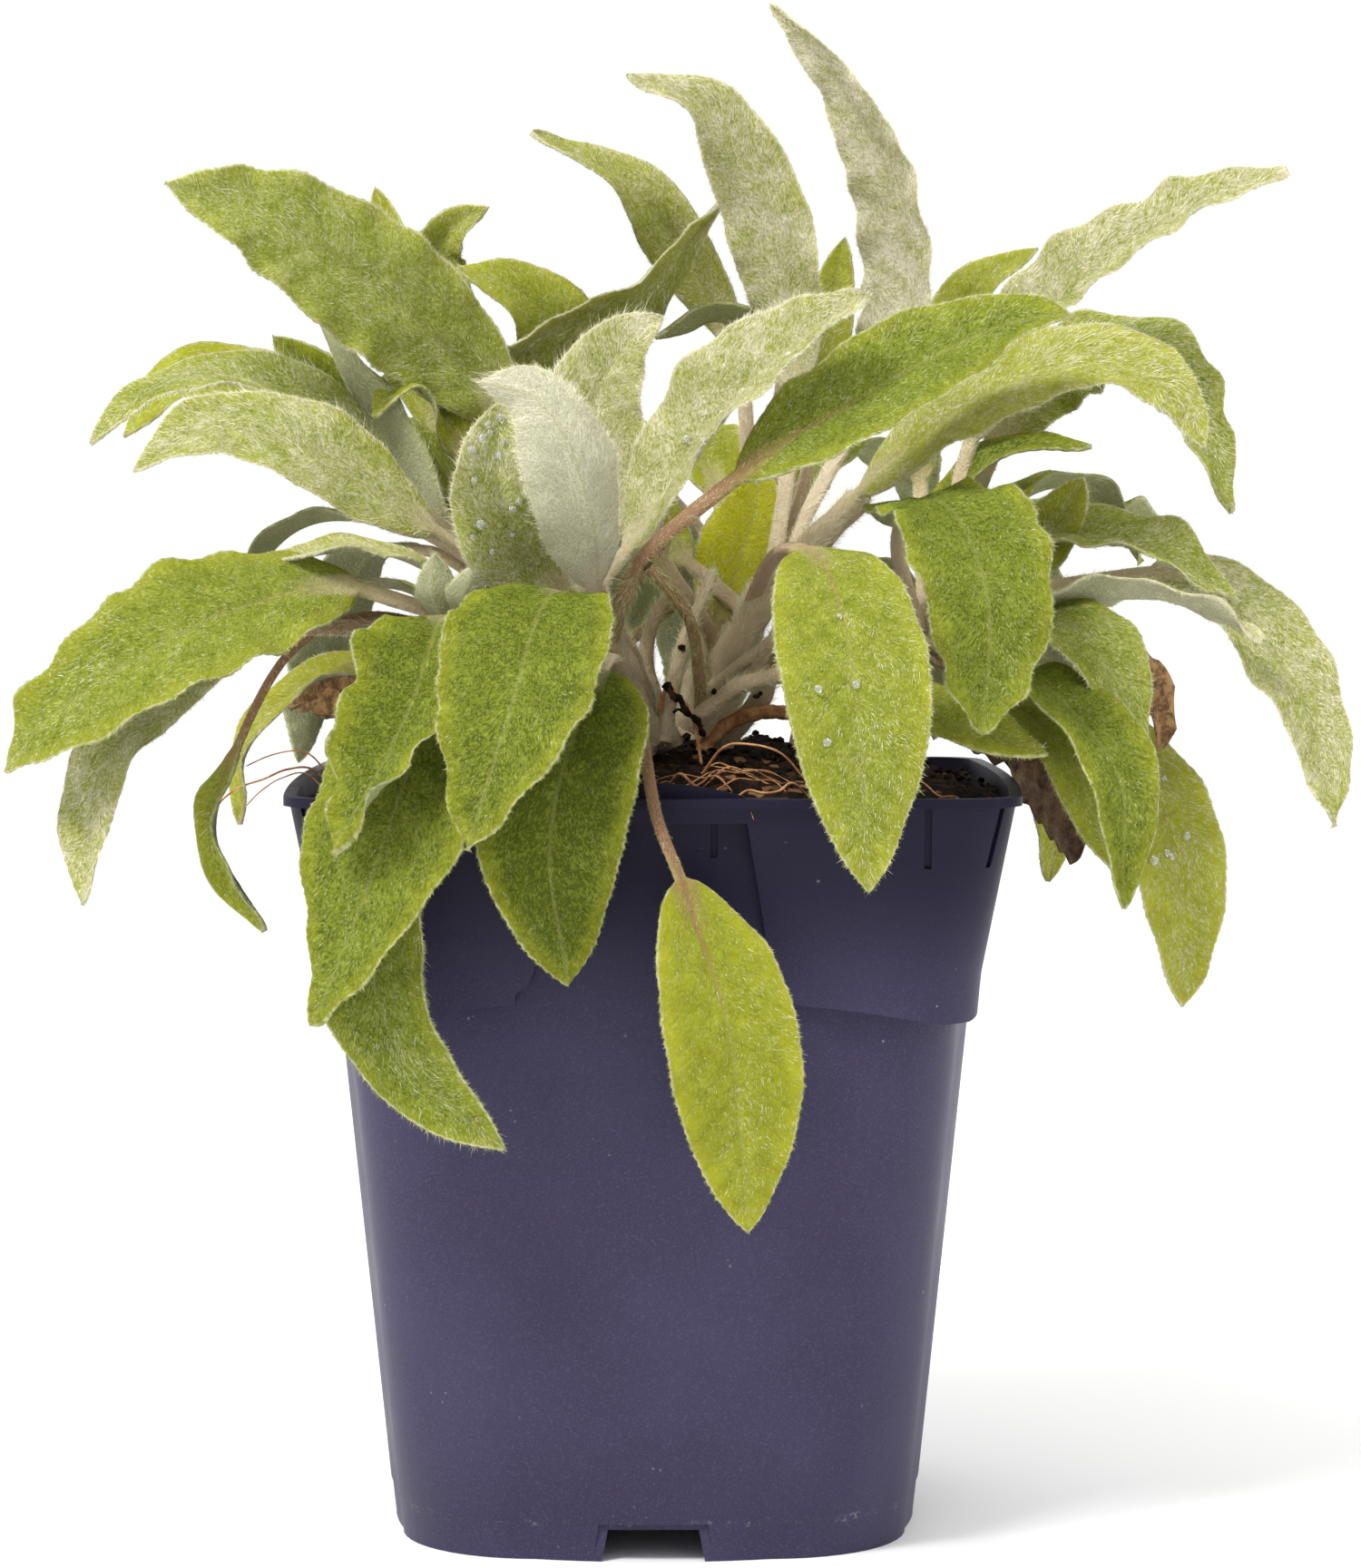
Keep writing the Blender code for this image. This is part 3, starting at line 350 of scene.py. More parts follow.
def groove(offset, z_low, z_high, distance, degrees):
    """Cutter for an upright groove; `distance` gives the wall's distance at a height."""
    half = GROOVE_WIDTH / 2
    turn = math.radians(degrees)
    rings = []
    for z in (z_low, z_high):
        y = -(distance(z) - GROOVE_DEPTH)
        ring = [(offset - half, y - 5), (offset + half, y - 5), (offset + half, y), (offset - half, y)]
        rings.append([turned(x, w, z, turn) for x, w in ring])
    return loft("groove", rings)


def collar_face(offset):
    """How far the collar's bowed side is from the axis, this far from its middle."""
    def distance(z):
        straight = collar_half(z) - COLLAR_BOW - collar_corner(z)
        return collar_half(z) - COLLAR_BOW * (offset / straight) ** 2
    return distance


def collar_corner_face(z):
    """How far the collar's rounded corner is from the axis."""
    straight = collar_half(z) - COLLAR_BOW - collar_corner(z)
    return straight * math.sqrt(2) + collar_corner(z)


def guards():
    """Blocks that keep the hollow's wide upper part away from both recesses."""
    half = RECESS_LOW_HALF + 3
    outline = [(-half, 90), (half, 90), (half, 160), (-half, 160)]
    return [prism("guard", outline, -90, -55, side) for side in (0, 180)]


def times(mat, a, b, clamp=False):
    return maths(mat, "MULTIPLY", a, b, clamp)


def plus(mat, a, b):
    return maths(mat, "ADD", a, b)


def minus(mat, a, b, clamp=False):
    return maths(mat, "SUBTRACT", a, b, clamp)


def size_of(mat, value):
    return maths(mat, "ABSOLUTE", value)


def clouds(mat, at, scale, detail, roughness=0.5):
    """Cloudy noise at a place, from 0 to 1."""
    return add(mat, "TexNoise", Vector=at, Scale=scale, Detail=detail, Roughness=roughness).outputs["Fac"]


def emboss(mat, shader, height, strength, depth):
    """Raise the surface by a pattern, `depth` metres at most."""
    bump = add(mat, "Bump", Strength=strength, Distance=depth, Height=height)
    connect(mat, bump.outputs["Normal"], shader, "Normal")


# the tub and its collar as one body, with the recesses cut into the collar
pot = loft("pot_shell", [body_ring(0, FOOT_STEP), body_ring(FOOT_TOP, FOOT_STEP), body_ring(FOOT_TOP + 0.3)]
           + [body_ring(z) for z in (30, 60, 90, 120, RIM_Z - 0.5)])
collar = loft("collar", [square_ring(52, 10, COLLAR_BOW, COLLAR_FOOT_Z + 5), collar_foot_ring(),
                         collar_ring(COLLAR_SHOULDER_Z), collar_ring(125), collar_ring(RIM_Z - LIP_HEIGHT),
                         square_ring(LIP_HALF, LIP_CORNER, COLLAR_BOW, RIM_Z - LIP_HEIGHT + 0.01),
                         square_ring(LIP_HALF, LIP_CORNER, COLLAR_BOW, RIM_Z)])
combine(collar, [prism("recess", mirrored(RECESS), -90, -50, side) for side in (0, 180)], "DIFFERENCE")
combine(pot, [collar], "UNION")
# the hollow that holds the soil, its wider part inside the collar, and the hollow foot
hollow = loft("hollow", [body_ring(z, WALL) for z in (FLOOR_TOP, 50, 100, RIM_Z + 6)])
wide = loft("wide", [collar_ring(COLLAR_SHOULDER_Z + 1, WALL), collar_ring(RIM_Z - 4, WALL),
                     square_ring(LIP_INNER_HALF, LIP_CORNER - WALL, COLLAR_BOW, RIM_Z + 2)])
combine(wide, guards(), "DIFFERENCE")
under = loft("under", [body_ring(-1, WALL + 0.2), body_ring(FLOOR_UNDER, WALL + 0.2)])
combine(pot, [hollow, wide, under], "DIFFERENCE")
# an arched tongue stands up behind each recess
arch = [(TONGUE_HALF * math.cos(a), RIM_Z + 0.3 + TONGUE_ARCH * math.sin(a) ** 2)
        for a in (math.pi * i / 24 for i in range(25))]
tongue = [(-TONGUE_HALF, RIM_Z - 3), (TONGUE_HALF, RIM_Z - 3)] + arch
tongue_face = -(body_half(RIM_Z) - WALL)
combine(pot, [prism("tongue", tongue, tongue_face - TONGUE_THICK, tongue_face, side) for side in (0, 180)],
        "UNION")
# notches in the foot, upright grooves in the collar and the recesses, and drain holes
pot_cutters = []
foot_y = body_half(0)
for side in (0, 90, 180, 270):
    # a wide shallow cut in the foot's face, then the notch through the foot ring
    for extra, top_z, near, far in ((1.7, FOOT_TOP - 0.4, 8, FOOT_STEP + 0.5), (0, FLOOR_UNDER - 0.05, 6, 8)):
        outline = [(-NOTCH_LOW_HALF - extra, -2), (NOTCH_LOW_HALF + extra, -2),
                   (NOTCH_TOP_HALF + extra, top_z), (-NOTCH_TOP_HALF - extra, top_z)]
        pot_cutters.append(prism("notch", outline, -foot_y - near, -foot_y + far, side))
    for offset in GROOVE_OFFSETS:
        pot_cutters.append(groove(offset, GROOVE_LOW_Z, GROOVE_TOP_Z, collar_face(offset), side))
    pot_cutters.append(groove(0, GROOVE_LOW_Z, GROOVE_TOP_Z, collar_corner_face, side + 45))
for side in (0, 180):
    for offset in RECESS_GROOVES:
        pot_cutters.append(groove(offset, *RECESS_GROOVE_Z, lambda z: body_half(z) - 0.2, side))
drain_centres = [(0, 0)] + [(DRAIN_CIRCLE * math.cos(a), DRAIN_CIRCLE * math.sin(a))
                            for a in (math.pi / 2 * k for k in range(4))]
for drain_x, drain_y in drain_centres:
    circle = [(drain_x + POT_X + DRAIN_RADIUS * math.cos(a), drain_y + DRAIN_RADIUS * math.sin(a))
              for a in (2 * math.pi * k / DRAIN_SIDES for k in range(DRAIN_SIDES))]
    pot_cutters.append(loft("drain", [[(x, y, z) for x, y in circle] for z in (3, 11)]))
combine(pot, pot_cutters, "DIFFERENCE")

pot_mat, pot_shader = new_material("slate_plastic", PLASTIC, 0.45, Specular_IOR_Level=0.3, IOR=1.3)
pot_at = add(pot_mat, "TexCoord").outputs["Object"]
pot_clouds = clouds(pot_mat, pot_at, 38.0, 4.0, 0.6)
pot_grain = clouds(pot_mat, pot_at, 2600.0, 2.0)
pot_colour = blend(pot_mat, step_between(pot_mat, pot_clouds, 0.35, 0.7), PLASTIC, PLASTIC_PALE)
pot_colour = blend(pot_mat, step_between(pot_mat, pot_grain, 0.5, 0.7, 0.0, 0.5), pot_colour, PLASTIC_GLINT)
pot_height = add(pot_mat, "SeparateXYZ", Vector=pot_at).outputs["Z"]
# painted shade: the collar darkens towards the rim, where the overhanging leaves shade it
painted_shade_under_leaves = step_between(pot_mat, pot_height, 0.094, 0.132, 0.0, 0.9)
pot_colour = blend(pot_mat, painted_shade_under_leaves, pot_colour, PLASTIC_PAINTED_SHADE)
# dust specks in patches, and pale scuffs along the foot's seam
speck = add(pot_mat, "TexVoronoi", Vector=pot_at, Scale=420.0).outputs["Distance"]
speck_here = clouds(pot_mat, pot_at, 160.0, 2.0)
speck_share = times(pot_mat, step_between(pot_mat, speck, 0.16, 0.05),
                    step_between(pot_mat, speck_here, 0.62, 0.7))
pot_colour = blend(pot_mat, times(pot_mat, speck_share, 0.4), pot_colour, DUST)
scuff = clouds(pot_mat, pot_at, 300.0, 5.0, 0.8)
seam = step_between(pot_mat, size_of(pot_mat, minus(pot_mat, pot_height, 0.0072)), 0.0011, 0.0003)
scuff_share = times(pot_mat, times(pot_mat, step_between(pot_mat, scuff, 0.55, 0.72), seam), 0.5)
pot_colour = blend(pot_mat, scuff_share, pot_colour, DUST)
connect(pot_mat, pot_colour, pot_shader, "Base Color")
connect(pot_mat, step_between(pot_mat, pot_clouds, 0.3, 0.7, 0.42, 0.5), pot_shader, "Roughness")
emboss(pot_mat, pot_shader, pot_grain, 0.6, 0.0001)

pot.data.materials.clear()
pot.data.materials.append(pot_mat)
pot_edges = pot.modifiers.new("rounded_edges", "BEVEL")
pot_edges.width = EDGE_ROUNDING * MM
pot_edges.segments = 2
pot_edges.limit_method = "ANGLE"
pot_edges.angle_limit = BEVELLED_FROM
pot_edges.use_clamp_overlap = True
pot.data.shade_smooth()
pot.data.set_sharp_from_angle(angle=SHARP_FROM)
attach(pot, "root")
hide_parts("pot")


# ------------------------------------------------------------------ soil
# The soil is dark peat and bark compost, pressed into the pot and mounded a
# little in the middle. Its top is crumbly: a rough skin with loose crumbs on it.
SOIL_EDGE_Z = 139.0
SOIL_CROWN = 9.5
SOIL_SPREAD = 62.0
SOIL_RINGS = 74
SOIL_GAP = 0.3
SOIL_INSET = WALL + SOIL_GAP
RECESS_MARGIN = 4.0
SOIL_ROUGHEST = 1.6
CRUMB_COUNT = 1600
CRUMB_SIZES = (0.35, 1.05)
SOIL_DARK = (0.0035, 0.0020, 0.0015)
SOIL_BROWN = (0.036, 0.016, 0.007)
SOIL_FLECK = (0.30, 0.16, 0.07)
STUCK_CRUMBS = (
    # crumbs that cling to the hairy stalks: place and size
    (0.2, -23, 168.1, 0.90),
    (0.5, -23, 167.6, 0.60),
    (6.3, -28, 160.0, 0.80),
    (14.2, -31, 159.2, 0.90),
    (14.9, -31, 159.7, 0.60),
)


def soil_height(x, y):
    """Height of the mound: highest a little right of the pot's middle, and lumpy."""
    reach = math.hypot(x - 2, y - 4) / SOIL_SPREAD
    mound = SOIL_CROWN * max(0.0, 1 - reach ** 2)
    lumps = 0.7 * math.sin(x / 5.3 + 1.0) * math.cos(y / 4.7) + 0.5 * math.sin((x + 2 * y) / 7.1)
    return SOIL_EDGE_Z + mound + lumps * min(1.0, 2.5 * max(0.0, 1 - reach))


def crumbly(x, y):
    """The rough skin over the mound."""
    fine = noise.noise(Vector((x / 1.6, y / 1.6, 0.0))) * 0.9
    coarse = noise.noise(Vector((x / 4.5, y / 4.5, 7.0))) * 1.3
    return soil_height(x, y) + fine + coarse


def behind_recess(ring):
    """A ring of the soil, held back where a label recess stands in front of it."""
    limit = body_half(ring[0].z) - SOIL_INSET - 0.5
    for p in ring:
        if abs(p.x - POT_X) < RECESS_LOW_HALF + RECESS_MARGIN:
            p.y = max(-limit, min(limit, p.y))
    return ring


# the root ball fills the tub, then the collar, and ends in rings that close over the top
soil_edge = collar_ring(SOIL_EDGE_Z, SOIL_INSET)
guard_line = body_half(SOIL_EDGE_Z) - SOIL_INSET
soil_rings = [square_ring(body_half(z) - SOIL_INSET - 1, 23, 3.5, z) for z in (FLOOR_TOP + SOIL_GAP, 60, 109)]
soil_rings += [behind_recess(collar_ring(z, SOIL_INSET)) for z in (COLLAR_SHOULDER_Z + 2, 130)]
for ring_index in range(SOIL_RINGS):
    fraction = 1.0 - ring_index / SOIL_RINGS
    ring = []
    for edge_point in soil_edge:
        x = POT_X + (edge_point.x - POT_X) * fraction
        y = edge_point.y * fraction
        if abs(x - POT_X) < RECESS_LOW_HALF + RECESS_MARGIN:
            y = max(-guard_line + 0.5, min(guard_line - 0.5, y))
        ring.append(Vector((x, y, min(crumbly(x, y), soil_height(x, y) + SOIL_ROUGHEST))))
    soil_rings.append(ring)
soil = loft("soil_mound", soil_rings)


def crumb(bm, place, size, draw):
    """One loose crumb: a small dented ball."""
    made = bmesh.ops.create_icosphere(bm, subdivisions=1, radius=size * MM)
    stretch = Vector((draw.uniform(0.7, 1.2), draw.uniform(0.7, 1.2), draw.uniform(0.55, 0.9)))
    for v in made["verts"]:
        v.co = v.co * stretch * draw.uniform(0.75, 1.15) + place * MM


def placed_bmesh(name, bm):
    """Turn the balls gathered in a bmesh into an object."""
    mesh = bpy.data.meshes.new(name)
    bm.to_mesh(mesh)
    bm.free()
    return placed(name, mesh)


crumb_draw = random.Random(31)
crumb_bm = bmesh.new()
for _ in range(CRUMB_COUNT):
    turn = crumb_draw.uniform(0, 2 * math.pi)
    reach = math.sqrt(crumb_draw.random()) * 0.985
    spot = soil_edge[int(turn / (2 * math.pi) * len(soil_edge)) % len(soil_edge)]
    x = POT_X + (spot.x - POT_X) * reach
    y = spot.y * reach
    if abs(x - POT_X) < RECESS_LOW_HALF + RECESS_MARGIN and abs(y) > guard_line - 1.5:
        continue
    size = crumb_draw.uniform(*CRUMB_SIZES) ** 1.6
    crumb(crumb_bm, Vector((x, y, crumbly(x, y) + size * 0.4)), size, crumb_draw)
for x, y, z, size in STUCK_CRUMBS:
    crumb(crumb_bm, Vector((x, y, z)), size, crumb_draw)
crumbs = placed_bmesh("soil_crumbs", crumb_bm)

soil_mat, soil_shader = new_material("bark_compost", SOIL_DARK, 0.95, Specular_IOR_Level=0.15)
soil_at = add(soil_mat, "TexCoord").outputs["Object"]
soil_lumps = clouds(soil_mat, soil_at, 330.0, 5.0, 0.7)
soil_bits = add(soil_mat, "TexVoronoi", Vector=soil_at, Scale=620.0)
soil_colour = blend(soil_mat, step_between(soil_mat, soil_lumps, 0.42, 0.68), SOIL_DARK, SOIL_BROWN)
fleck = add(soil_mat, "SeparateColor", Color=soil_bits.outputs["Color"]).outputs[0]
soil_colour = blend(soil_mat, step_between(soil_mat, fleck, 0.93, 0.98, 0.0, 0.6), soil_colour, SOIL_FLECK)
connect(soil_mat, soil_colour, soil_shader, "Base Color")
soil_relief = plus(soil_mat, soil_lumps, times(soil_mat, soil_bits.outputs["Distance"], 0.6))
emboss(soil_mat, soil_shader, soil_relief, 0.9, 0.0006)
for heap in (soil, crumbs):
    heap.data.materials.append(soil_mat)
    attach(heap, "root")
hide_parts("soil")


# ------------------------------------------------------------------ shoots: leaf tables
# Each shoot is a thick woolly stem that carries lance-shaped leaves on grooved
# stalks. They grow as one body. Young ones are silvery with felt, the broad
# old ones at the rim are green and thinly haired, and a few have yellowed.
Leaf = namedtuple("Leaf", "spine width face petiole cup wave felt age brown fine belly point ruffle")


def leaf(spine, width, face, petiole, cup, wave, felt, age, brown,
         fine=True, belly=0.86, point=0.8, ruffle=1.0):
    """One leaf.

    Its looks: thickness of felt, age (below 0 a deeper green, above 0 yellowing), and how
    brown its stalk is. Felt and age were also set leaf by leaf to match how bright each leaf
    looks: on leaves in shade a low felt or an age below 0 is partly painted shade, and on
    well-lit ones a higher felt is partly painted light. Then: fine mesh or not, where it is
    widest, how pointed, how ruffled.
    Its looks: thickness of felt, age (below 0 young green, above 0 yellowing), and how brown
    its stalk is. Then: fine mesh or not, where it is widest, how pointed, how ruffled.
    """
    return Leaf(np.array(spine, float), width, np.array(face, float), petiole, cup, wave, felt, age, brown,
                fine, belly, point, ruffle)


# A shoot is a stem path and its leaves. The first stem point is in the soil.

FRONT_STEM = ((-8, -18, 149), (-8, -20, 156), (-10, -26, 164), (-14, -32, 172), (-18, -36, 181))
FRONT_LEAVES = (
    # young silvery leaves standing in the crown
    leaf(((-17, -36, 178), (-8, -38, 189), (4, -40, 208), (18, -46, 222), (34, -54, 233)),
         20, (-0.7, -0.6, 0.35), 0.14, 30, 0.7, 0.85, 0, 0, ruffle=1.6),
    leaf(((-18, -37, 176), (-27, -43, 184), (-32, -51, 194), (-33, -54, 204), (-32, -53, 214)),
         20, (0, -1, 0.1), 0.1, 22, 0.5, 0.72, 0, 0.1, ruffle=1.4),
    leaf(((-16, -35, 176), (-16, -53, 190), (-20, -62, 205), (-26, -63, 214), (-36, -62, 217)),
         19, (-0.5, 0.8, 0.2), 0.12, 20, 0.4, 1.05, 0, 0.1, belly=0.9),
    leaf(((-15, -33, 174), (-15, -26, 198), (-16, -24, 213), (-11, -25, 224), (-3, -27, 230)),
         20, (-0.2, -1, 0.2), 0.2, 14, 0.5, 0.85, 0, 0.1),
    # broad leaves falling over the front rim
    leaf(((-15, -31, 170), (-21, -52, 178), (-25, -70, 176), (-30, -90, 158), (-37, -93, 135)),
         30, (0, -0.5, 0.85), 0.24, 8, 1.0, 0.14, -0.3, 0.1, ruffle=1.6),
    leaf(((-12, -28, 166), (-14, -50, 166), (-18, -72, 157), (-23, -81, 135), (-20, -80, 110)),
         29, (0, -0.5, 0.85), 0.3, 8, 0.7, 0.1, -0.55, 0.1, point=0.72),
    leaf(((-9, -22, 156), (-7, -50, 153), (-6, -66, 148.5), (-4, -76, 139), (1, -79, 126),
          (9, -83, 100), (12, -79, 66)),
         25, (0, -0.5, 0.85), 0.52, 6, 0.7, 0.2, 0.42, 1.0, point=0.75),
    # long brown-stalked leaf reaching to the right
    leaf(((-13, -30, 170), (-10, -40, 180), (-2, -47, 190), (22, -48, 208), (43, -46, 220),
          (60, -48, 228), (71, -52, 229)),
         24, (-0.3, -0.75, 0.6), 0.4, 10, 0.6, 0.3, -0.25, 1.0),
)

LEFT_STEM = ((-22, -14, 149), (-26, -16, 157), (-34, -22, 166), (-41, -30, 175))
LEFT_LEAVES = (
    # the largest leaf, held out to the left
    leaf(((-40, -29, 173), (-52, -36, 177), (-62, -40, 179.5), (-78, -50, 177), (-97, -58, 168),
          (-113, -57, 157), (-124, -48, 146)),
         28, (-0.2, -0.85, 0.55), 0.22, 8, 0.9, 0.28, 0.1, 0.2, belly=0.8, ruffle=1.6),
    # leaves falling over the rim's left corner
    leaf(((-41, -30, 173), (-44, -52, 173), (-47, -71, 162), (-53, -82, 148), (-61, -87, 134)),
         22, (-0.15, -0.5, 0.85), 0.16, 30, 1.2, 0.14, -0.3, 0.2, ruffle=3.2),
    leaf(((-40, -29, 170), (-44, -60, 160), (-51, -79, 140), (-57, -83, 122), (-65, -81, 103)),
         31, (-0.1, -0.5, 0.85), 0.28, 6, 0.9, 0.15, -0.15, 0.2),
    leaf(((-37, -25, 167), (-48, -66, 150), (-54, -76, 127), (-54, -78, 109), (-46, -79, 93),
          (-31, -79, 81)),
         20, (-0.3, -0.95, 0.05), 0.4, 8, 1.0, 0.52, -0.95, 0.3),
    # long-stalked leaves hanging below it
    leaf(((-40, -28, 172), (-59, -34, 172), (-75, -40, 171), (-94, -46, 160), (-106, -50, 145),
          (-109, -54, 122)),
         16, (-0.5, -0.8, 0.4), 0.42, 16, 0.7, 0.84, 0.0, 0.8, fine=False),
    leaf(((-36, -24, 169), (-58, -30, 174), (-72, -36, 168), (-82, -40, 150), (-86, -42, 133),
          (-77, -42, 116)),
         9, (-0.8, -0.5, 0.1), 0.62, 24, 0.6, 0.3, 0.1, 1.0, fine=False),
    leaf(((-34, -22, 165), (-59, -22, 165), (-73, -22, 159.5), (-82.5, -22, 148), (-83, -22, 134.5)),
         9, (-0.6, -0.5, 0.6), 0.3, 20, 0.6, 0.5, 0.6, 0.6, fine=False),
    leaf(((-39, -27, 174), (-46, -34, 183), (-61, -38, 187), (-76, -40, 184)),
         13, (0, -0.2, 1), 0.3, 12, 0.4, 0.8, 0.3, 0.7, fine=False),
    leaf(((-38, -25, 171), (-51, -27, 179), (-67, -28, 180)),
         12, (0, 0, 1), 0.3, 10, 0.4, 0.8, 0.3, 0.7, fine=False),
    # buds of the crown
    leaf(((-40, -29, 171), (-45, -42, 177), (-45, -44, 186)),
         10, (0.3, 1, 0.2), 0.1, 24, 0.3, 0.62, 0, 0.3, fine=False),
    leaf(((-38, -27, 169), (-40, -44, 176), (-37, -48, 184)),
         10, (0.3, 1, 0.4), 0.1, 24, 0.3, 0.62, 0, 0.3, fine=False),
)

BACK_LEFT_STEM = ((-16, 0, 150), (-19, 0, 159), (-28, -4, 171), (-36, -8, 185))
BACK_LEFT_LEAVES = (
    leaf(((-33, -7, 181), (-32, -7, 198), (-34, -9, 212), (-44, -14, 224), (-58, -22, 236),
          (-75, -30, 247), (-95, -36, 254)),
         25, (-0.3, -0.9, 0.35), 0.24, 10, 0.9, 0.5, 0.0, 0.1, belly=0.96, point=0.72, ruffle=1.8),
    leaf(((-36, -6, 184), (-40, 2, 208), (-47, 6, 238), (-45, 5, 247), (-37, 2, 252)),
         12, (0.3, -0.8, 0.3), 0.4, 24, 0.4, 0.5, 0.2, 0.1, fine=False),
    leaf(((-36, -5, 184), (-50, 12, 219), (-60, 22, 257)),
         13, (-0.2, -1, 0.3), 0.35, 16, 0.4, 0.4, 0.3, 0.1, fine=False),
    # two leaves one above the other, bowed out to the left
    leaf(((-36, -8, 183), (-52, -12, 199), (-65, -16, 212), (-84, -20, 219), (-99, -24, 216),
          (-110, -28, 206)),
         14, (-0.2, -0.55, 0.8), 0.2, 14, 0.6, 0.76, -0.5, 0.8),
    leaf(((-36, -9, 182), (-48, -22, 191), (-68, -30, 204), (-86, -34, 209), (-101, -38, 201)),
         20, (-0.15, -0.75, 0.65), 0.22, 12, 0.6, 0.72, 0, 0.1),
    leaf(((-37, -6, 183), (-62, 8, 204), (-81, 12, 217), (-97, 10, 219), (-108, 6, 208)),
         17, (-0.2, -0.8, 0.6), 0.35, 8, 0.6, 0.4, 0.45, 0.1, fine=False),
    # narrow leaves standing between them
    leaf(((-37, -7, 183), (-52, -6, 198), (-66, -4, 215), (-78, -4, 227)),
         15, (-0.5, -0.8, 0.5), 0.25, 14, 0.4, 0.2, -0.6, 0.2, fine=False),
    leaf(((-36, -8, 183), (-47, -12, 194), (-60, -12, 213), (-69, -10, 231)),
         14, (0.7, 0.5, 0.5), 0.2, 26, 0.4, 0.55, 0, 0.3, fine=False),
    leaf(((-36, -7, 185), (-43, -10, 208), (-51, -14, 218), (-58, -18, 211)),
         11, (-0.2, -0.5, 0.9), 0.4, 20, 0.5, 0.3, 0.2, 0.5, fine=False),
    leaf(((-35, -5, 181), (-40, 3, 194), (-42, 7, 208)),
         12, (0, -1, 0.3), 0.25, 10, 0.4, 0.4, 0.3, 0.3, fine=False),
)

CENTRE_STEM = ((7, -4, 150), (8, -4, 158), (11, -6, 167), (17, -4, 181))
CENTRE_LEAVES = (
    # the tallest leaf, and the one bowed to the left beside it
    leaf(((16, -3, 177), (25, 4, 194), (38, 10, 219), (44, 12, 236), (41, 8, 256), (31, 2, 275),
          (17, -6, 290)),
         16, (-0.55, -0.8, 0.25), 0.3, 26, 0.6, 1.1, 0, 0.1, belly=0.66, point=1.0, ruffle=2.2),
    leaf(((17, -2, 178), (21, 4, 205), (21, 5, 233), (15, 2, 255), (5, -4, 270), (-10, -12, 276)),
         17, (-0.4, -0.8, 0.55), 0.34, 12, 0.5, 0.88, 0, 0.1, belly=0.76, ruffle=1.5),
    # bowed out to the right
    leaf(((15, -6, 173), (29, -16, 191), (40, -24, 203), (56, -29, 215), (76, -32, 221),
          (91, -34, 216), (97, -35, 205)),
         24, (0, -0.6, 0.8), 0.3, 10, 0.6, 0.62, 0.5, 0.2),
    # hangs in front of the rim on an arched stalk
    leaf(((11, -8, 168), (16, -30, 183), (21, -50, 187), (27, -70, 181), (31, -85, 160), (33, -85, 127)),
         27, (0, -0.5, 0.85), 0.42, 8, 0.7, 0.31, 0.22, 0.6),
    # small yellowing leaf, and the small ones around the stalks
    leaf(((9, -4, 160), (6, 0, 170), (10, 4, 180), (14, 5, 192), (16, 6, 202)),
         18, (0, -1, 0.2), 0.3, 6, 0.4, 0.36, 1.2, 0.5, fine=False),
    leaf(((15, -2, 172), (-2, 6, 187), (-10, 6, 198), (-11, 4, 213)),
         14, (0, -1, 0.3), 0.35, 8, 0.4, 0.3, 0.1, 0.3, fine=False),
    leaf(((17, 0, 179), (25, 11, 204), (20, 13, 222), (8, 8, 231), (-5, 2, 227)),
         13, (0.6, 0.5, 0.6), 0.4, 12, 0.4, 0.2, 0.1, 0.3, fine=False),
    leaf(((9, -4, 163), (4, -12, 173), (-2, -20, 182), (-10, -16, 196), (-15, -10, 210)),
         13, (0, -1, 0.3), 0.5, 8, 0.4, 0.4, 0.3, 0.5, fine=False),
)

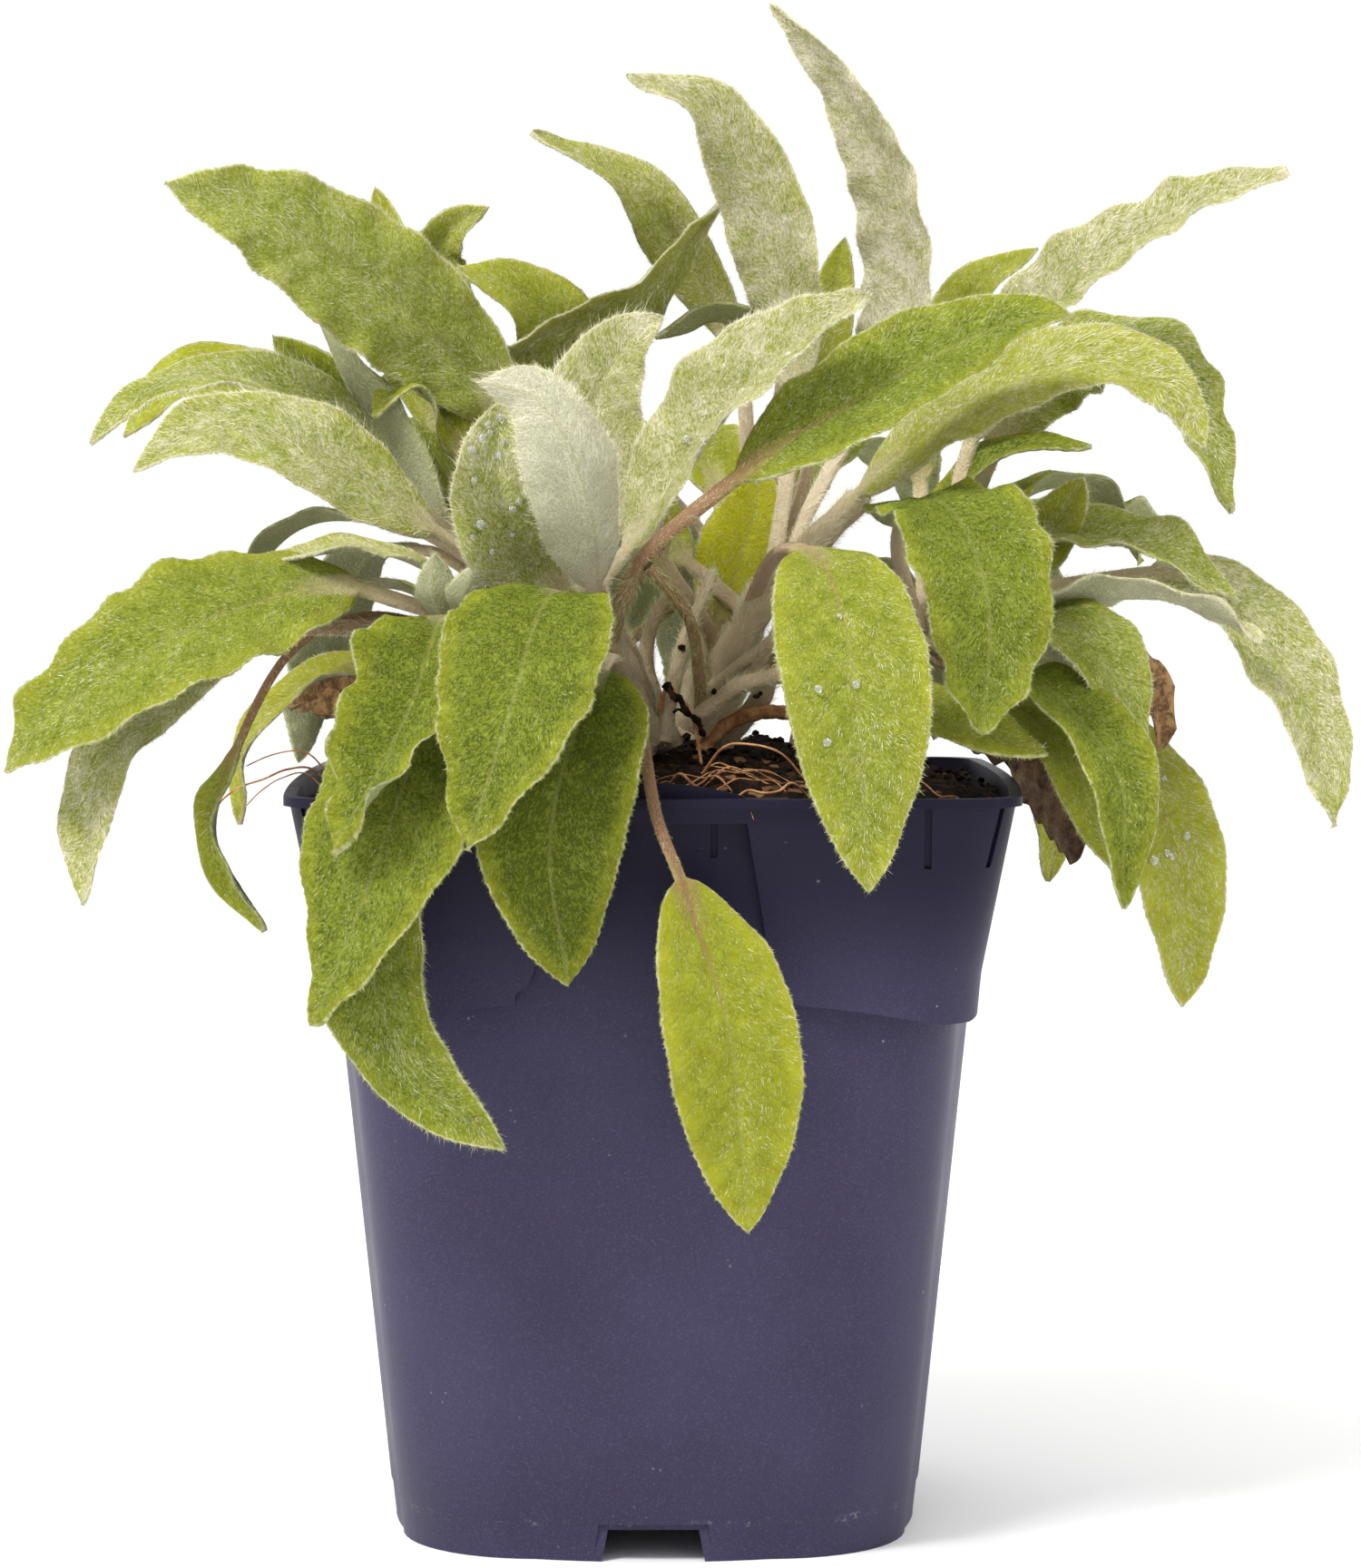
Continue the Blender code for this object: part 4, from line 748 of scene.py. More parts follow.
RIGHT_STEM = ((25, 2, 150), (31, 2, 158), (41, 0, 167), (51, -4, 176))
RIGHT_LEAVES = (
    # folded over towards the front
    leaf(((46, -3, 171), (41, -24, 186), (43, -42, 195), (50, -57, 193), (55, -68, 176), (54, -69, 154)),
         27, (0.05, -0.5, 0.85), 0.34, 8, 1.2, 0.22, -0.3, 0.1, point=0.62, ruffle=2.6),
    leaf(((49, -3, 174), (51, 4, 194), (63, 2, 205), (79, -2, 206)),
         13, (0, -0.4, 1), 0.3, 10, 0.4, 0.25, -0.6, 0.4, fine=False),
    leaf(((50, -5, 174), (64, -14, 184), (71, -18, 191), (76, -20, 200)),
         13, (-0.4, -1, 0.2), 0.3, 10, 0.4, 0.4, 0.3, 0.2, fine=False),
    # held out to the right, one above the other
    leaf(((50, -5, 174), (65, -18, 187), (77, -22, 189), (92, -26, 185), (104, -28, 176)),
         16, (0.1, -0.5, 0.9), 0.35, 20, 0.8, 0.6, -0.2, 0.6, ruffle=2.2),
    leaf(((50, -6, 172), (63, -24, 176), (76, -30, 178), (93, -34, 177), (108, -36, 170)),
         15, (0, 0.25, 1), 0.35, 10, 0.9, 0.8, 0, 0.3, ruffle=2.4),
    leaf(((47, -4, 173), (78, -8, 180), (100, -16, 180), (116, -26, 160), (122, -34, 135)),
         20, (0.5, -0.8, 0.4), 0.4, 10, 0.6, 0.78, 0.05, 0.2, ruffle=1.5),
    # falling over the right rim
    leaf(((49, -5, 171), (63, -28, 174), (73, -40, 172), (80, -46, 163), (85, -48, 151)),
         20, (0.4, -0.75, 0.6), 0.3, 8, 0.5, 0.48, -0.1, 0.4),
    leaf(((47, -4, 169), (56, -36, 163), (68, -52, 161), (79, -60, 145), (80, -61, 122)),
         18, (0.55, -0.75, 0.4), 0.36, 14, 0.6, 0.14, -0.05, 0.4, belly=0.95),
    leaf(((50, -3, 171), (70, -14, 161), (85, -24, 148), (93, -30, 125), (94, -32, 101)),
         21, (0.4, -0.85, 0.4), 0.35, 12, 0.6, 0.5, 0.6, 0.3, belly=0.95),
    leaf(((44, -4, 168), (45, -44, 159), (54, -58, 154), (66, -63, 150)),
         15, (0, -0.7, 0.75), 0.4, 10, 0.5, 0.3, 0.25, 0.3, fine=False),
    leaf(((46, -2, 167), (60, -30, 159), (72, -44, 148), (79, -46, 128)),
         16, (0.4, -0.8, 0.5), 0.4, 8, 0.5, 0.3, 0.25, 0.3, fine=False),
    leaf(((48, -1, 168), (65, 18, 157), (74, 22, 137), (73, 22, 120)),
         14, (0.5, -0.7, 0.2), 0.4, 8, 0.4, 0.4, 0.4, 0.3, fine=False),
    # rising to the right
    leaf(((50, -3, 174), (56, 6, 206), (70, 0, 232), (91, -10, 248), (114, -18, 258)),
         18, (-0.4, -0.65, 0.65), 0.3, 22, 0.6, 0.85, 0, 0.2, belly=0.76, ruffle=2.2),
    leaf(((47, -1, 172), (48, 22, 214), (58, 28, 237), (71, 28, 245)),
         14, (-0.4, -0.8, 0.5), 0.35, 12, 0.4, 0.4, 0.3, 0.2, fine=False),
    leaf(((48, -2, 170), (64, 14, 210), (85, 10, 226), (99, 4, 215), (106, 0, 193)),
         19, (0.4, -0.7, 0.6), 0.34, 8, 0.9, 0.56, -0.1, 0.1, ruffle=2.8),
)

BACK_STEM = ((2, 24, 149), (4, 26, 159), (9, 28, 172), (14, 28, 187))
BACK_LEAVES = (
    # stalk that rises behind the crown and lays its blade over to the left
    leaf(((13, 28, 182), (20, 30, 220), (18, 25, 246), (11, 17, 255), (3, 8, 247), (-10, 0, 233),
          (-26, -3, 227), (-41, -8, 220)),
         22, (0.1, -0.5, -0.9), 0.56, 10, 0.5, 0.6, 0.3, 0.2),
    leaf(((12, 28, 180), (-12, 12, 208), (-27, 1, 232), (-43, -6, 240)),
         19, (-0.2, -0.8, 0.6), 0.4, 8, 0.6, 0.4, 0.3, 0.2, fine=False),
    leaf(((14, 28, 184), (12, 34, 221), (3, 30, 241), (-10, 22, 257), (-29, 12, 267)),
         13, (-0.5, -0.6, 0.6), 0.4, 18, 0.4, 0.7, 0.2, 0.2, fine=False),
    leaf(((14, 28, 186), (27, 36, 223), (33, 38, 248)),
         12, (0, -1, 0.4), 0.3, 12, 0.4, 0.4, 0.3, 0.2, fine=False),
)

# Fans of leaves on the far side of three shoots: where the fan starts, the
# headings of its first and last leaf in degrees from X, how many it has, the seed
# of its draws, and which leaves are shorter than the others, with their share.
BACK_FAN = ((12, 29, 180), 122, 42, 7, 11, {})
BACK_LEFT_FAN = ((-36, -6, 182), 172, 118, 4, 12, {1: 0.6})
RIGHT_FAN = ((50, -2, 173), 66, 10, 4, 13, {2: 0.66, 3: 0.6})


def leaf_fan(crown, first, last, count, seed, short_ones):
    """Leaves fanned out by turns low, drooping over the rim, and high, nearly level."""
    draw = random.Random(seed)
    crown = np.array(crown, float)
    leaves = []
    for i in range(count):
        heading = math.radians(first + (last - first) * i / (count - 1) + draw.uniform(-5, 5))
        out = np.array((math.cos(heading), math.sin(heading), 0))
        low = i % 2 == 0
        reach = draw.uniform(52, 62) if low else draw.uniform(60, 70)
        reach *= short_ones.get(i, 1.0)
        rise = draw.uniform(8, 14) if low else draw.uniform(22, 36)
        drop = draw.uniform(24, 44) if low else draw.uniform(-10, 2)
        heights = (0, rise * 0.8, rise * 0.9 - drop * 0.15, rise * 0.5 - drop)
        root = crown - np.array((0, 0, 1.4 * i))
        spine = [root + out * (reach * f) + np.array((0, 0, h)) for f, h in zip((0, 0.34, 0.7, 1.0), heights)]
        leaves.append(leaf(spine, draw.uniform(19, 26), (out[0] * 0.5, out[1] * 0.5, 1),
                           0.28, 10, 0.7, draw.uniform(0.2, 0.5), draw.uniform(-0.3, 0.5), 0.3, ruffle=1.5))
    return tuple(leaves)


# Stalks of leaves that are hidden or were pulled off: shoot, path, radius at both
# ends, and how brown each is.
BARE_STALKS = (
    ("shoot_centre",
     ((3.1, -12, 151.8), (6.0, -14, 161.4), (10.6, -18, 168.1), (17.1, -20, 178.8),
      (26.6, -18, 189.0), (36.5, -14, 198.5)), 3.6, 2.4, 0.3),
    ("shoot_centre",
     ((-6.0, -45, 183.7), (-1.5, -42, 178.6), (1.7, -36, 173.6), (3.0, -30, 167.7),
      (3.8, -24, 158.4), (3.9, -20, 152.2)), 1.1, 1.2, 1.0),
    ("shoot_front",
     ((-4.3, -44, 187.6), (-8.3, -42, 181.8), (-11.4, -38, 175.5), (-12.8, -32, 169.3),
      (-11.2, -26, 162.8), (-8.6, -22, 153.2)), 1.7, 1.5, 0.9),
    ("shoot_front",
     ((-4.8, -24, 150.2), (-7.7, -25, 156.7), (-10.9, -27, 163.3), (-12.7, -30, 169.7),
      (-13.9, -32, 174.0)), 3.0, 2.5, 0.5),
    ("shoot_front",
     ((-3.1, -26, 150.3), (-1.5, -24, 160.5), (1.2, -20, 170.2), (4.1, -14, 177.3),
      (6.4, -6, 182.1)), 1.5, 1.2, 0.3),
    ("shoot_centre",
     ((3.4, -24, 154.7), (6.8, -26, 157.6), (11.0, -28, 160.8), (19.0, -30, 163.1),
      (26.1, -34, 163.6)), 1.7, 1.5, 0.4),
    ("shoot_centre",
     ((6.9, -20, 158.2), (12.0, -22, 161.1), (16.2, -24, 167.5), (19.7, -26, 174.0),
      (23.8, -28, 180.7)), 1.2, 1.1, 0.5),
    ("shoot_centre",
     ((4.1, -18, 158.7), (11.3, -22, 164.7), (19.1, -26, 170.4), (25.4, -30, 172.2)), 1.2, 1.1, 0.3),
    ("shoot_front",
     ((-12.7, -18, 167.6), (-8.6, -12, 169.6), (-4.2, -8, 173.0), (-0.3, -4, 176.7)), 1.1, 1.0, 1.0),
    ("shoot_front",
     ((-0.9, -14, 149.0), (-4.8, -15, 158.0), (-6.5, -15, 166.6),
      (-4.8, -13, 173.5), (-1.4, -10, 178.6)), 1.6, 1.2, 0.5),
    ("shoot_centre",
     ((8.7, -10, 150.5), (14.7, -12, 157.0), (17.3, -14, 163.1),
      (23.2, -16, 170.1)), 2.2, 1.8, 0.4),
)

SHOOTS = (
    ("shoot_front", FRONT_STEM, FRONT_LEAVES),
    ("shoot_left", LEFT_STEM, LEFT_LEAVES),
    ("shoot_back_left", BACK_LEFT_STEM, BACK_LEFT_LEAVES + leaf_fan(*BACK_LEFT_FAN)),
    ("shoot_centre", CENTRE_STEM, CENTRE_LEAVES),
    ("shoot_right", RIGHT_STEM, RIGHT_LEAVES + leaf_fan(*RIGHT_FAN)),
    ("shoot_back", BACK_STEM, BACK_LEAVES + leaf_fan(*BACK_FAN)),
)


# ------------------------------------------------------------------ shoots: leaf blades
# A blade is about 1 mm thick, quilted between its side veins, with a channel
# along the rib above, a ridge below, and small round teeth on its rim. Its
# stalk is round and grooved, and runs into the stem.
STEM_RADIUS = 3.8
PETIOLE_WIDTH = 3.2
PETIOLE_THICK = 2.4
LONG_STALK_SHARE = 0.68
BLADE_THICK = 0.9
TIP_WIDTH = 1.6
FINE_STEP = 0.95
SMALL_STEP = 1.5
STALK_STEP = 2.2
FINE_COLUMNS = (0, 0.055, 0.16, 0.33, 0.53, 0.73, 0.89, 0.97, 1.0)
SMALL_COLUMNS = (0, 0.12, 0.35, 0.62, 0.87, 1.0)
TILE_SLIMNESS = 3.4
VEIN_STEP = 6.5
VEIN_SLANT = 0.9
VEIN_DEPTH = 0.35
QUILT = 0.25
CHANNEL_DEPTH = 0.55
RIDGE_HEIGHT = 0.8
RIB_REACH = 0.9
TOOTH = 0.13
SCALLOP = 0.4
RIM_WAVE = 0.5
BLADE_WAVE = 0.45
USUAL_WIDTH = 26
STEM_SIDES = 14
STEM_STATIONS = 40
STEM_ABOVE_SOIL = 14
STALK_STATIONS = 26
STEM_BURIED_Z = 131.3
STEM_BROWN = 0.36
# from bare dark green to thick white felt
FELT_TONES = ((0.100, 0.132, 0.014), (0.222, 0.275, 0.028), (0.375, 0.415, 0.082), (0.61, 0.59, 0.325),
              (0.95, 0.90, 0.73))
TONE_BARE = 0.155
TONE_FELT = 0.60
TONE_DEEP_AND_SHADED = 0.22
LEAF_YELLOW = (0.61, 0.59, 0.025)
UNDER_GREEN = (0.22, 0.27, 0.07)
UNDER_PALE = (0.47, 0.49, 0.24)
UNDER_FELT = (0.86, 0.82, 0.66)
UNDER_SHADE = (0.54, 0.53, 0.35)
RIB_COLOUR = (0.45, 0.44, 0.14)
STALK_PALE = (0.90, 0.74, 0.50)
STALK_BROWN = (0.36, 0.17, 0.095)
STALK_NAP = (0.80, 0.74, 0.50)
RIM_COLOUR = (0.74, 0.71, 0.46)


def smooth_path(points, fractions):
    """Points on a smooth curve through the given ones, at fractions of its length."""
    ends = np.vstack((points[0] * 2 - points[1], points, points[-1] * 2 - points[-2]))
    t = (np.arange(24) / 24)[:, None]
    dense = []
    for a, b, c, d in zip(ends, ends[1:], ends[2:], ends[3:]):
        dense.append(0.5 * ((2 * b) + (c - a) * t + (2 * a - 5 * b + 4 * c - d) * t * t
                            + (3 * b - a - 3 * c + d) * t ** 3))
    dense = np.vstack(dense + [points[-1]])
    run = np.concatenate(([0.0], np.cumsum(np.linalg.norm(np.diff(dense, axis=0), axis=1))))
    wanted = np.asarray(fractions) * run[-1]
    return np.column_stack([np.interp(wanted, run, dense[:, k]) for k in range(3)]), run[-1]


def unit(vectors):
    return vectors / np.maximum(np.linalg.norm(vectors, axis=-1, keepdims=True), 1e-9)


def stalk_share(lf):
    """Leaves on long arching stalks have them thinner."""
    return LONG_STALK_SHARE if lf.petiole > 0.5 else 1.0


def blade_width(lf, share):
    """Half-width along the blade, from the petiole's end (0) to the tip (1)."""
    fullness = np.sin(np.pi * np.clip(share, 0, 1) ** lf.belly).clip(0, 1) ** lf.point
    ends = PETIOLE_WIDTH * stalk_share(lf) * (1 - share) + TIP_WIDTH * share
    return (lf.width * fullness + ends * (1 - fullness)) / 2


def leaf_grids(lf, phase, seed):
    """Both faces of a leaf as grids, stations along it by columns across it."""
    draw = np.random.default_rng(seed)
    _, length = smooth_path(lf.spine, [0, 1])
    stalk_count = max(4, round(lf.petiole * length / STALK_STEP))
    blade_count = round((1 - lf.petiole) * length / (FINE_STEP if lf.fine else SMALL_STEP))
    t = np.linspace(0, 1, blade_count + 1)
    fractions = np.concatenate((lf.petiole * np.arange(stalk_count) / stalk_count,
                                lf.petiole + (1 - lf.petiole) * t * (1.25 - 0.25 * t)))
    half_columns = np.array(FINE_COLUMNS if lf.fine else SMALL_COLUMNS)
    columns = np.concatenate((-half_columns[:0:-1], half_columns))
    path, _ = smooth_path(lf.spine, fractions)
    along = unit(np.gradient(path, axis=0))
    normal = unit(lf.face - along * (along @ lf.face)[:, None])
    side = np.cross(along, normal)

    share = (fractions - lf.petiole) / (1 - lf.petiole)
    half = np.where(share > 0, blade_width(lf, np.maximum(share, 0)), PETIOLE_WIDTH * stalk_share(lf) / 2)
    half = half * np.sqrt(1 - np.clip(share, 0, 1) ** 26)
    on_blade = np.clip(share * 4, 0, 1)
    run = fractions * length
    # capitals are grids: U across the blade from -1 to 1, the others along it
    U = columns[None, :]
    HALF, BLADE, SHARE, RUN = half[:, None], on_blade[:, None], share[:, None], run[:, None]
    tooth = TOOTH * np.where(np.arange(len(run)) % 2, 1, -1) * draw.uniform(0.4, 1.3, len(run))
    across = U * HALF + np.sign(U) * abs(U) ** 8 * (tooth * on_blade)[:, None] * (lf.width / 24)

    # the rim runs in and out on ruffled leaves
    scallop = SCALLOP * max(lf.ruffle - 1, 0) * np.sin(run / 1.7 + 1.2 * np.sin(run / 5.3) + phase) * on_blade
    across = across + U * abs(U) ** 2 * scallop[:, None] * (lf.width / USUAL_WIDTH)

    # how far the blade rises from the plane of its rib: cupped, waved, rippled and quilted
    lift = HALF * abs(U) ** 1.4 * math.tan(math.radians(lf.cup)) * BLADE
    ripple = np.sin(2 * np.pi * 2.4 * SHARE + phase + np.where(U > 0, 1.3, 0))
    lift = lift + lf.wave * ripple * U ** 2 * BLADE
    turns = draw.uniform(0, 2 * np.pi, 6)
    rim_ripple = np.sin(RUN / 1.9 + turns[0] + 2.0 * np.sign(U))
    rim_ripple = rim_ripple + 0.7 * np.sin(RUN / 3.1 + turns[1] * np.sign(U))
    lift = lift + RIM_WAVE * lf.ruffle * rim_ripple * abs(U) ** 3 * BLADE * (lf.width / USUAL_WIDTH)
    waves = np.sin(RUN / 5.1 + across / 3.3 + turns[2]) * np.cos(across / 4.2 + turns[3])
    lift = lift + BLADE_WAVE * waves * BLADE
    slant = (RUN - VEIN_SLANT * abs(across)) / (VEIN_STEP * lf.width / USUAL_WIDTH)
    slant = slant + 0.12 * np.sin(RUN / 7 + turns[4]) + np.where(U > 0, 0.35, 0)
    beat = 0.5 + 0.5 * np.cos(2 * np.pi * slant)
    quilt = BLADE * (1 - abs(U) ** 6) * np.clip(abs(across) / 2.5, 0, 1) * (lf.width / USUAL_WIDTH)
    lift = lift - quilt * VEIN_DEPTH * beat ** 6 + quilt * QUILT * (1 - beat)
    rib = np.exp(-(across / RIB_REACH) ** 2)
    centre = path[:, None, :] + side[:, None, :] * across[..., None] + normal[:, None, :] * lift[..., None]

    # the two faces: a channel along the rib above, a ridge below
    stalk_thick = PETIOLE_THICK * stalk_share(lf)
    thick = stalk_thick + (BLADE_THICK - stalk_thick) * BLADE
    body = thick / 2 * np.sqrt(1 - abs(U) ** (2 + 6 * BLADE))
    above = body - CHANNEL_DEPTH * rib * (0.35 + 0.65 * BLADE) * (1 - np.clip(SHARE, 0, 1) ** 3)
    below = body + RIDGE_HEIGHT * rib * BLADE * (1 - np.clip(SHARE, 0, 1) ** 0.7)
    top = centre + normal[:, None, :] * above[..., None]
    under = centre - normal[:, None, :] * below[..., None]
    stalk = 1 - np.clip((SHARE + 0.1) / 0.28, 0, 1) + 0 * U
    return {"top": top, "under": under, "across": across, "run": RUN + 0 * U, "edge": (1 - abs(U)) * HALF,
            "stalk": stalk, "blade": BLADE + 0 * U, "slant": slant + 0 * U, "share": SHARE + 0 * U,
            "u": U + 0 * RUN, "shade": draw.uniform(-1, 1)}


def tube_grid(points, thick, thin, stations):
    """A stem or stalk as a closed tube: stations along it by columns around it."""
    fractions = np.linspace(0, 1, stations)
    path, length = smooth_path(np.array(points, float), fractions)
    along = unit(np.gradient(path, axis=0))
    side = unit(np.array((1.0, 0, 0)) - along * along[:, :1])
    up = np.cross(along, side)
    angle = np.linspace(0, 2 * np.pi, STEM_SIDES + 1)[None, :]
    radius = (thick + (thin - thick) * fractions)[:, None]
    radius = radius * (1 + 0.07 * np.sin(fractions * length / 1.4)[:, None] + 0.05 * np.sin(3 * angle))
    radius = radius * np.sqrt(np.clip((1 - fractions) * 14, 0.0, 1))[:, None]
    ring = np.cos(angle)[..., None] * side[:, None, :] + np.sin(angle)[..., None] * up[:, None, :]
    return path[:, None, :] + ring * radius[..., None], angle * thick, (fractions * length)[:, None]


def mesh_from_arrays(name, points, faces, values, uv, mat):
    """A mesh from points in millimetres, faces of equal corner counts, and values per point."""
    mesh = bpy.data.meshes.new(name)
    mesh.vertices.add(len(points))
    mesh.vertices.foreach_set("co", (points * MM).ravel())
    mesh.loops.add(faces.size)
    mesh.loops.foreach_set("vertex_index", faces.ravel().astype(np.int32))
    mesh.polygons.add(len(faces))
    mesh.polygons.foreach_set("loop_start", (np.arange(len(faces)) * faces.shape[1]).astype(np.int32))
    mesh.update(calc_edges=True)
    for attribute, value in values.items():
        layer = mesh.attributes.new(attribute, "FLOAT_VECTOR", "POINT")
        layer.data.foreach_set("vector", value.astype(np.float32).ravel())
    mesh.uv_layers.new(name="OFBake").data.foreach_set("uv", uv.astype(np.float32).ravel())
    mesh.materials.append(mat)
    return mesh


class Gathered:
    """Vertices, faces and point values of one piece, gathered part by part."""

    def __init__(self, tiles):
        self.points, self.quads, self.tile_uv = [], [], []
        self.place, self.look, self.part, self.vein = [], [], [], []
        self.count = 0
        self.columns = math.ceil(math.sqrt(tiles * TILE_SLIMNESS))
        self.rows = math.ceil(tiles / self.columns)
        self.tile = 0

    def add_points(self, points, place, look, part, vein):
        """Points of a grid with their values; gives back a grid of their numbers."""
        base = self.count
        stores = (self.points, self.place, self.look, self.part, self.vein)
        for store, values in zip(stores, (points, place, look, part, vein)):
            store.append(np.broadcast_to(values, points.shape).reshape(-1, 3))
        self.count += points.shape[0] * points.shape[1]
        return np.arange(base, self.count).reshape(points.shape[:2])

    def add_quads(self, index, flip):
        """Faces over a grid of point numbers, laid on the piece's next tile."""
        a, b, c, d = index[:-1, :-1], index[1:, :-1], index[1:, 1:], index[:-1, 1:]
        order = (a, b, c, d) if flip else (a, d, c, b)
        self.quads.append(np.stack(order, -1).reshape(-1, 4))
        v, w = np.meshgrid(np.linspace(0.03, 0.97, index.shape[0]), np.linspace(0.04, 0.96, index.shape[1]),
                           indexing="ij")
        w = (w + self.tile % self.columns) / self.columns
        v = (v + self.tile // self.columns) / self.rows
        grid = np.stack((w, v), -1)
        corners = (grid[:-1, :-1], grid[1:, :-1], grid[1:, 1:], grid[:-1, 1:])
        corners = corners if flip else (corners[0], corners[3], corners[2], corners[1])
        self.tile_uv.append(np.stack(corners, 2).reshape(-1, 2))
        self.tile += 1

    def build(self, name, mat):
        """The gathered parts as one smooth mesh."""
        values = {"leaf_place": np.vstack(self.place), "leaf_look": np.vstack(self.look),
                  "leaf_part": np.vstack(self.part), "leaf_vein": np.vstack(self.vein)}
        mesh = mesh_from_arrays(name, np.vstack(self.points), np.vstack(self.quads), values,
                                np.vstack(self.tile_uv), mat)
        mesh.validate()
        mesh.shade_smooth()
        return placed(name, mesh)


def stacked(*layers):
    """Three value grids as one grid of vectors."""
    return np.stack(np.broadcast_arrays(*layers), -1)


def add_leaf(piece, lf, grids, number):
    """Add one leaf's two faces, which share the points of the rim."""
    place = stacked(grids["across"], grids["run"], np.float64(number) + 0 * grids["across"])
    part = stacked(grids["edge"], grids["stalk"], np.float64(lf.brown))
    vein = stacked(grids["slant"], grids["u"], grids["share"])
    top = piece.add_points(grids["top"], place, (lf.felt, lf.age, 0.0), part, vein)
    inner = (slice(None), slice(1, -1))
    under = piece.add_points(grids["under"][inner], place[inner], (lf.felt, lf.age, 1.0),
                             part[inner], vein[inner])
    under = np.concatenate((top[:, :1], under, top[:, -1:]), 1)
    piece.add_quads(top, False)
    piece.add_quads(under, True)


def add_tube(piece, points, thick, thin, stations, brown):
    """Add a stem or stalk to a shoot and give back its grid for the hairs."""
    tube, around, run = tube_grid(points, thick, thin, stations)
    around = around[:, :-1] + 0 * run
    wrapped = piece.add_points(tube[:, :-1], stacked(around, run + 0 * around, 0.5 + 0 * around),
                               (0.6, 0.3, 0.0), (5.0, 1.0, brown), (0.5, 0.5, 5.0))
    piece.add_quads(np.concatenate((wrapped, wrapped[:, :1]), 1), True)
    return tube


def felt_colour(mat, pale):
    """The felt's colour by how pale it is: 0 bare green, 1 thick white felt."""
    colour = FELT_TONES[0]
    for step, felt_tone in enumerate(FELT_TONES[1:]):
        colour = blend(mat, step_between(mat, pale, step * 0.25, step * 0.25 + 0.25), colour, felt_tone)
    return colour


def point_values(mat, name):
    """The three values that each point of a mesh carries under a name, apart."""
    values = add(mat, "Attribute", {"attribute_name": name}).outputs["Vector"]
    return add(mat, "SeparateXYZ", Vector=values).outputs


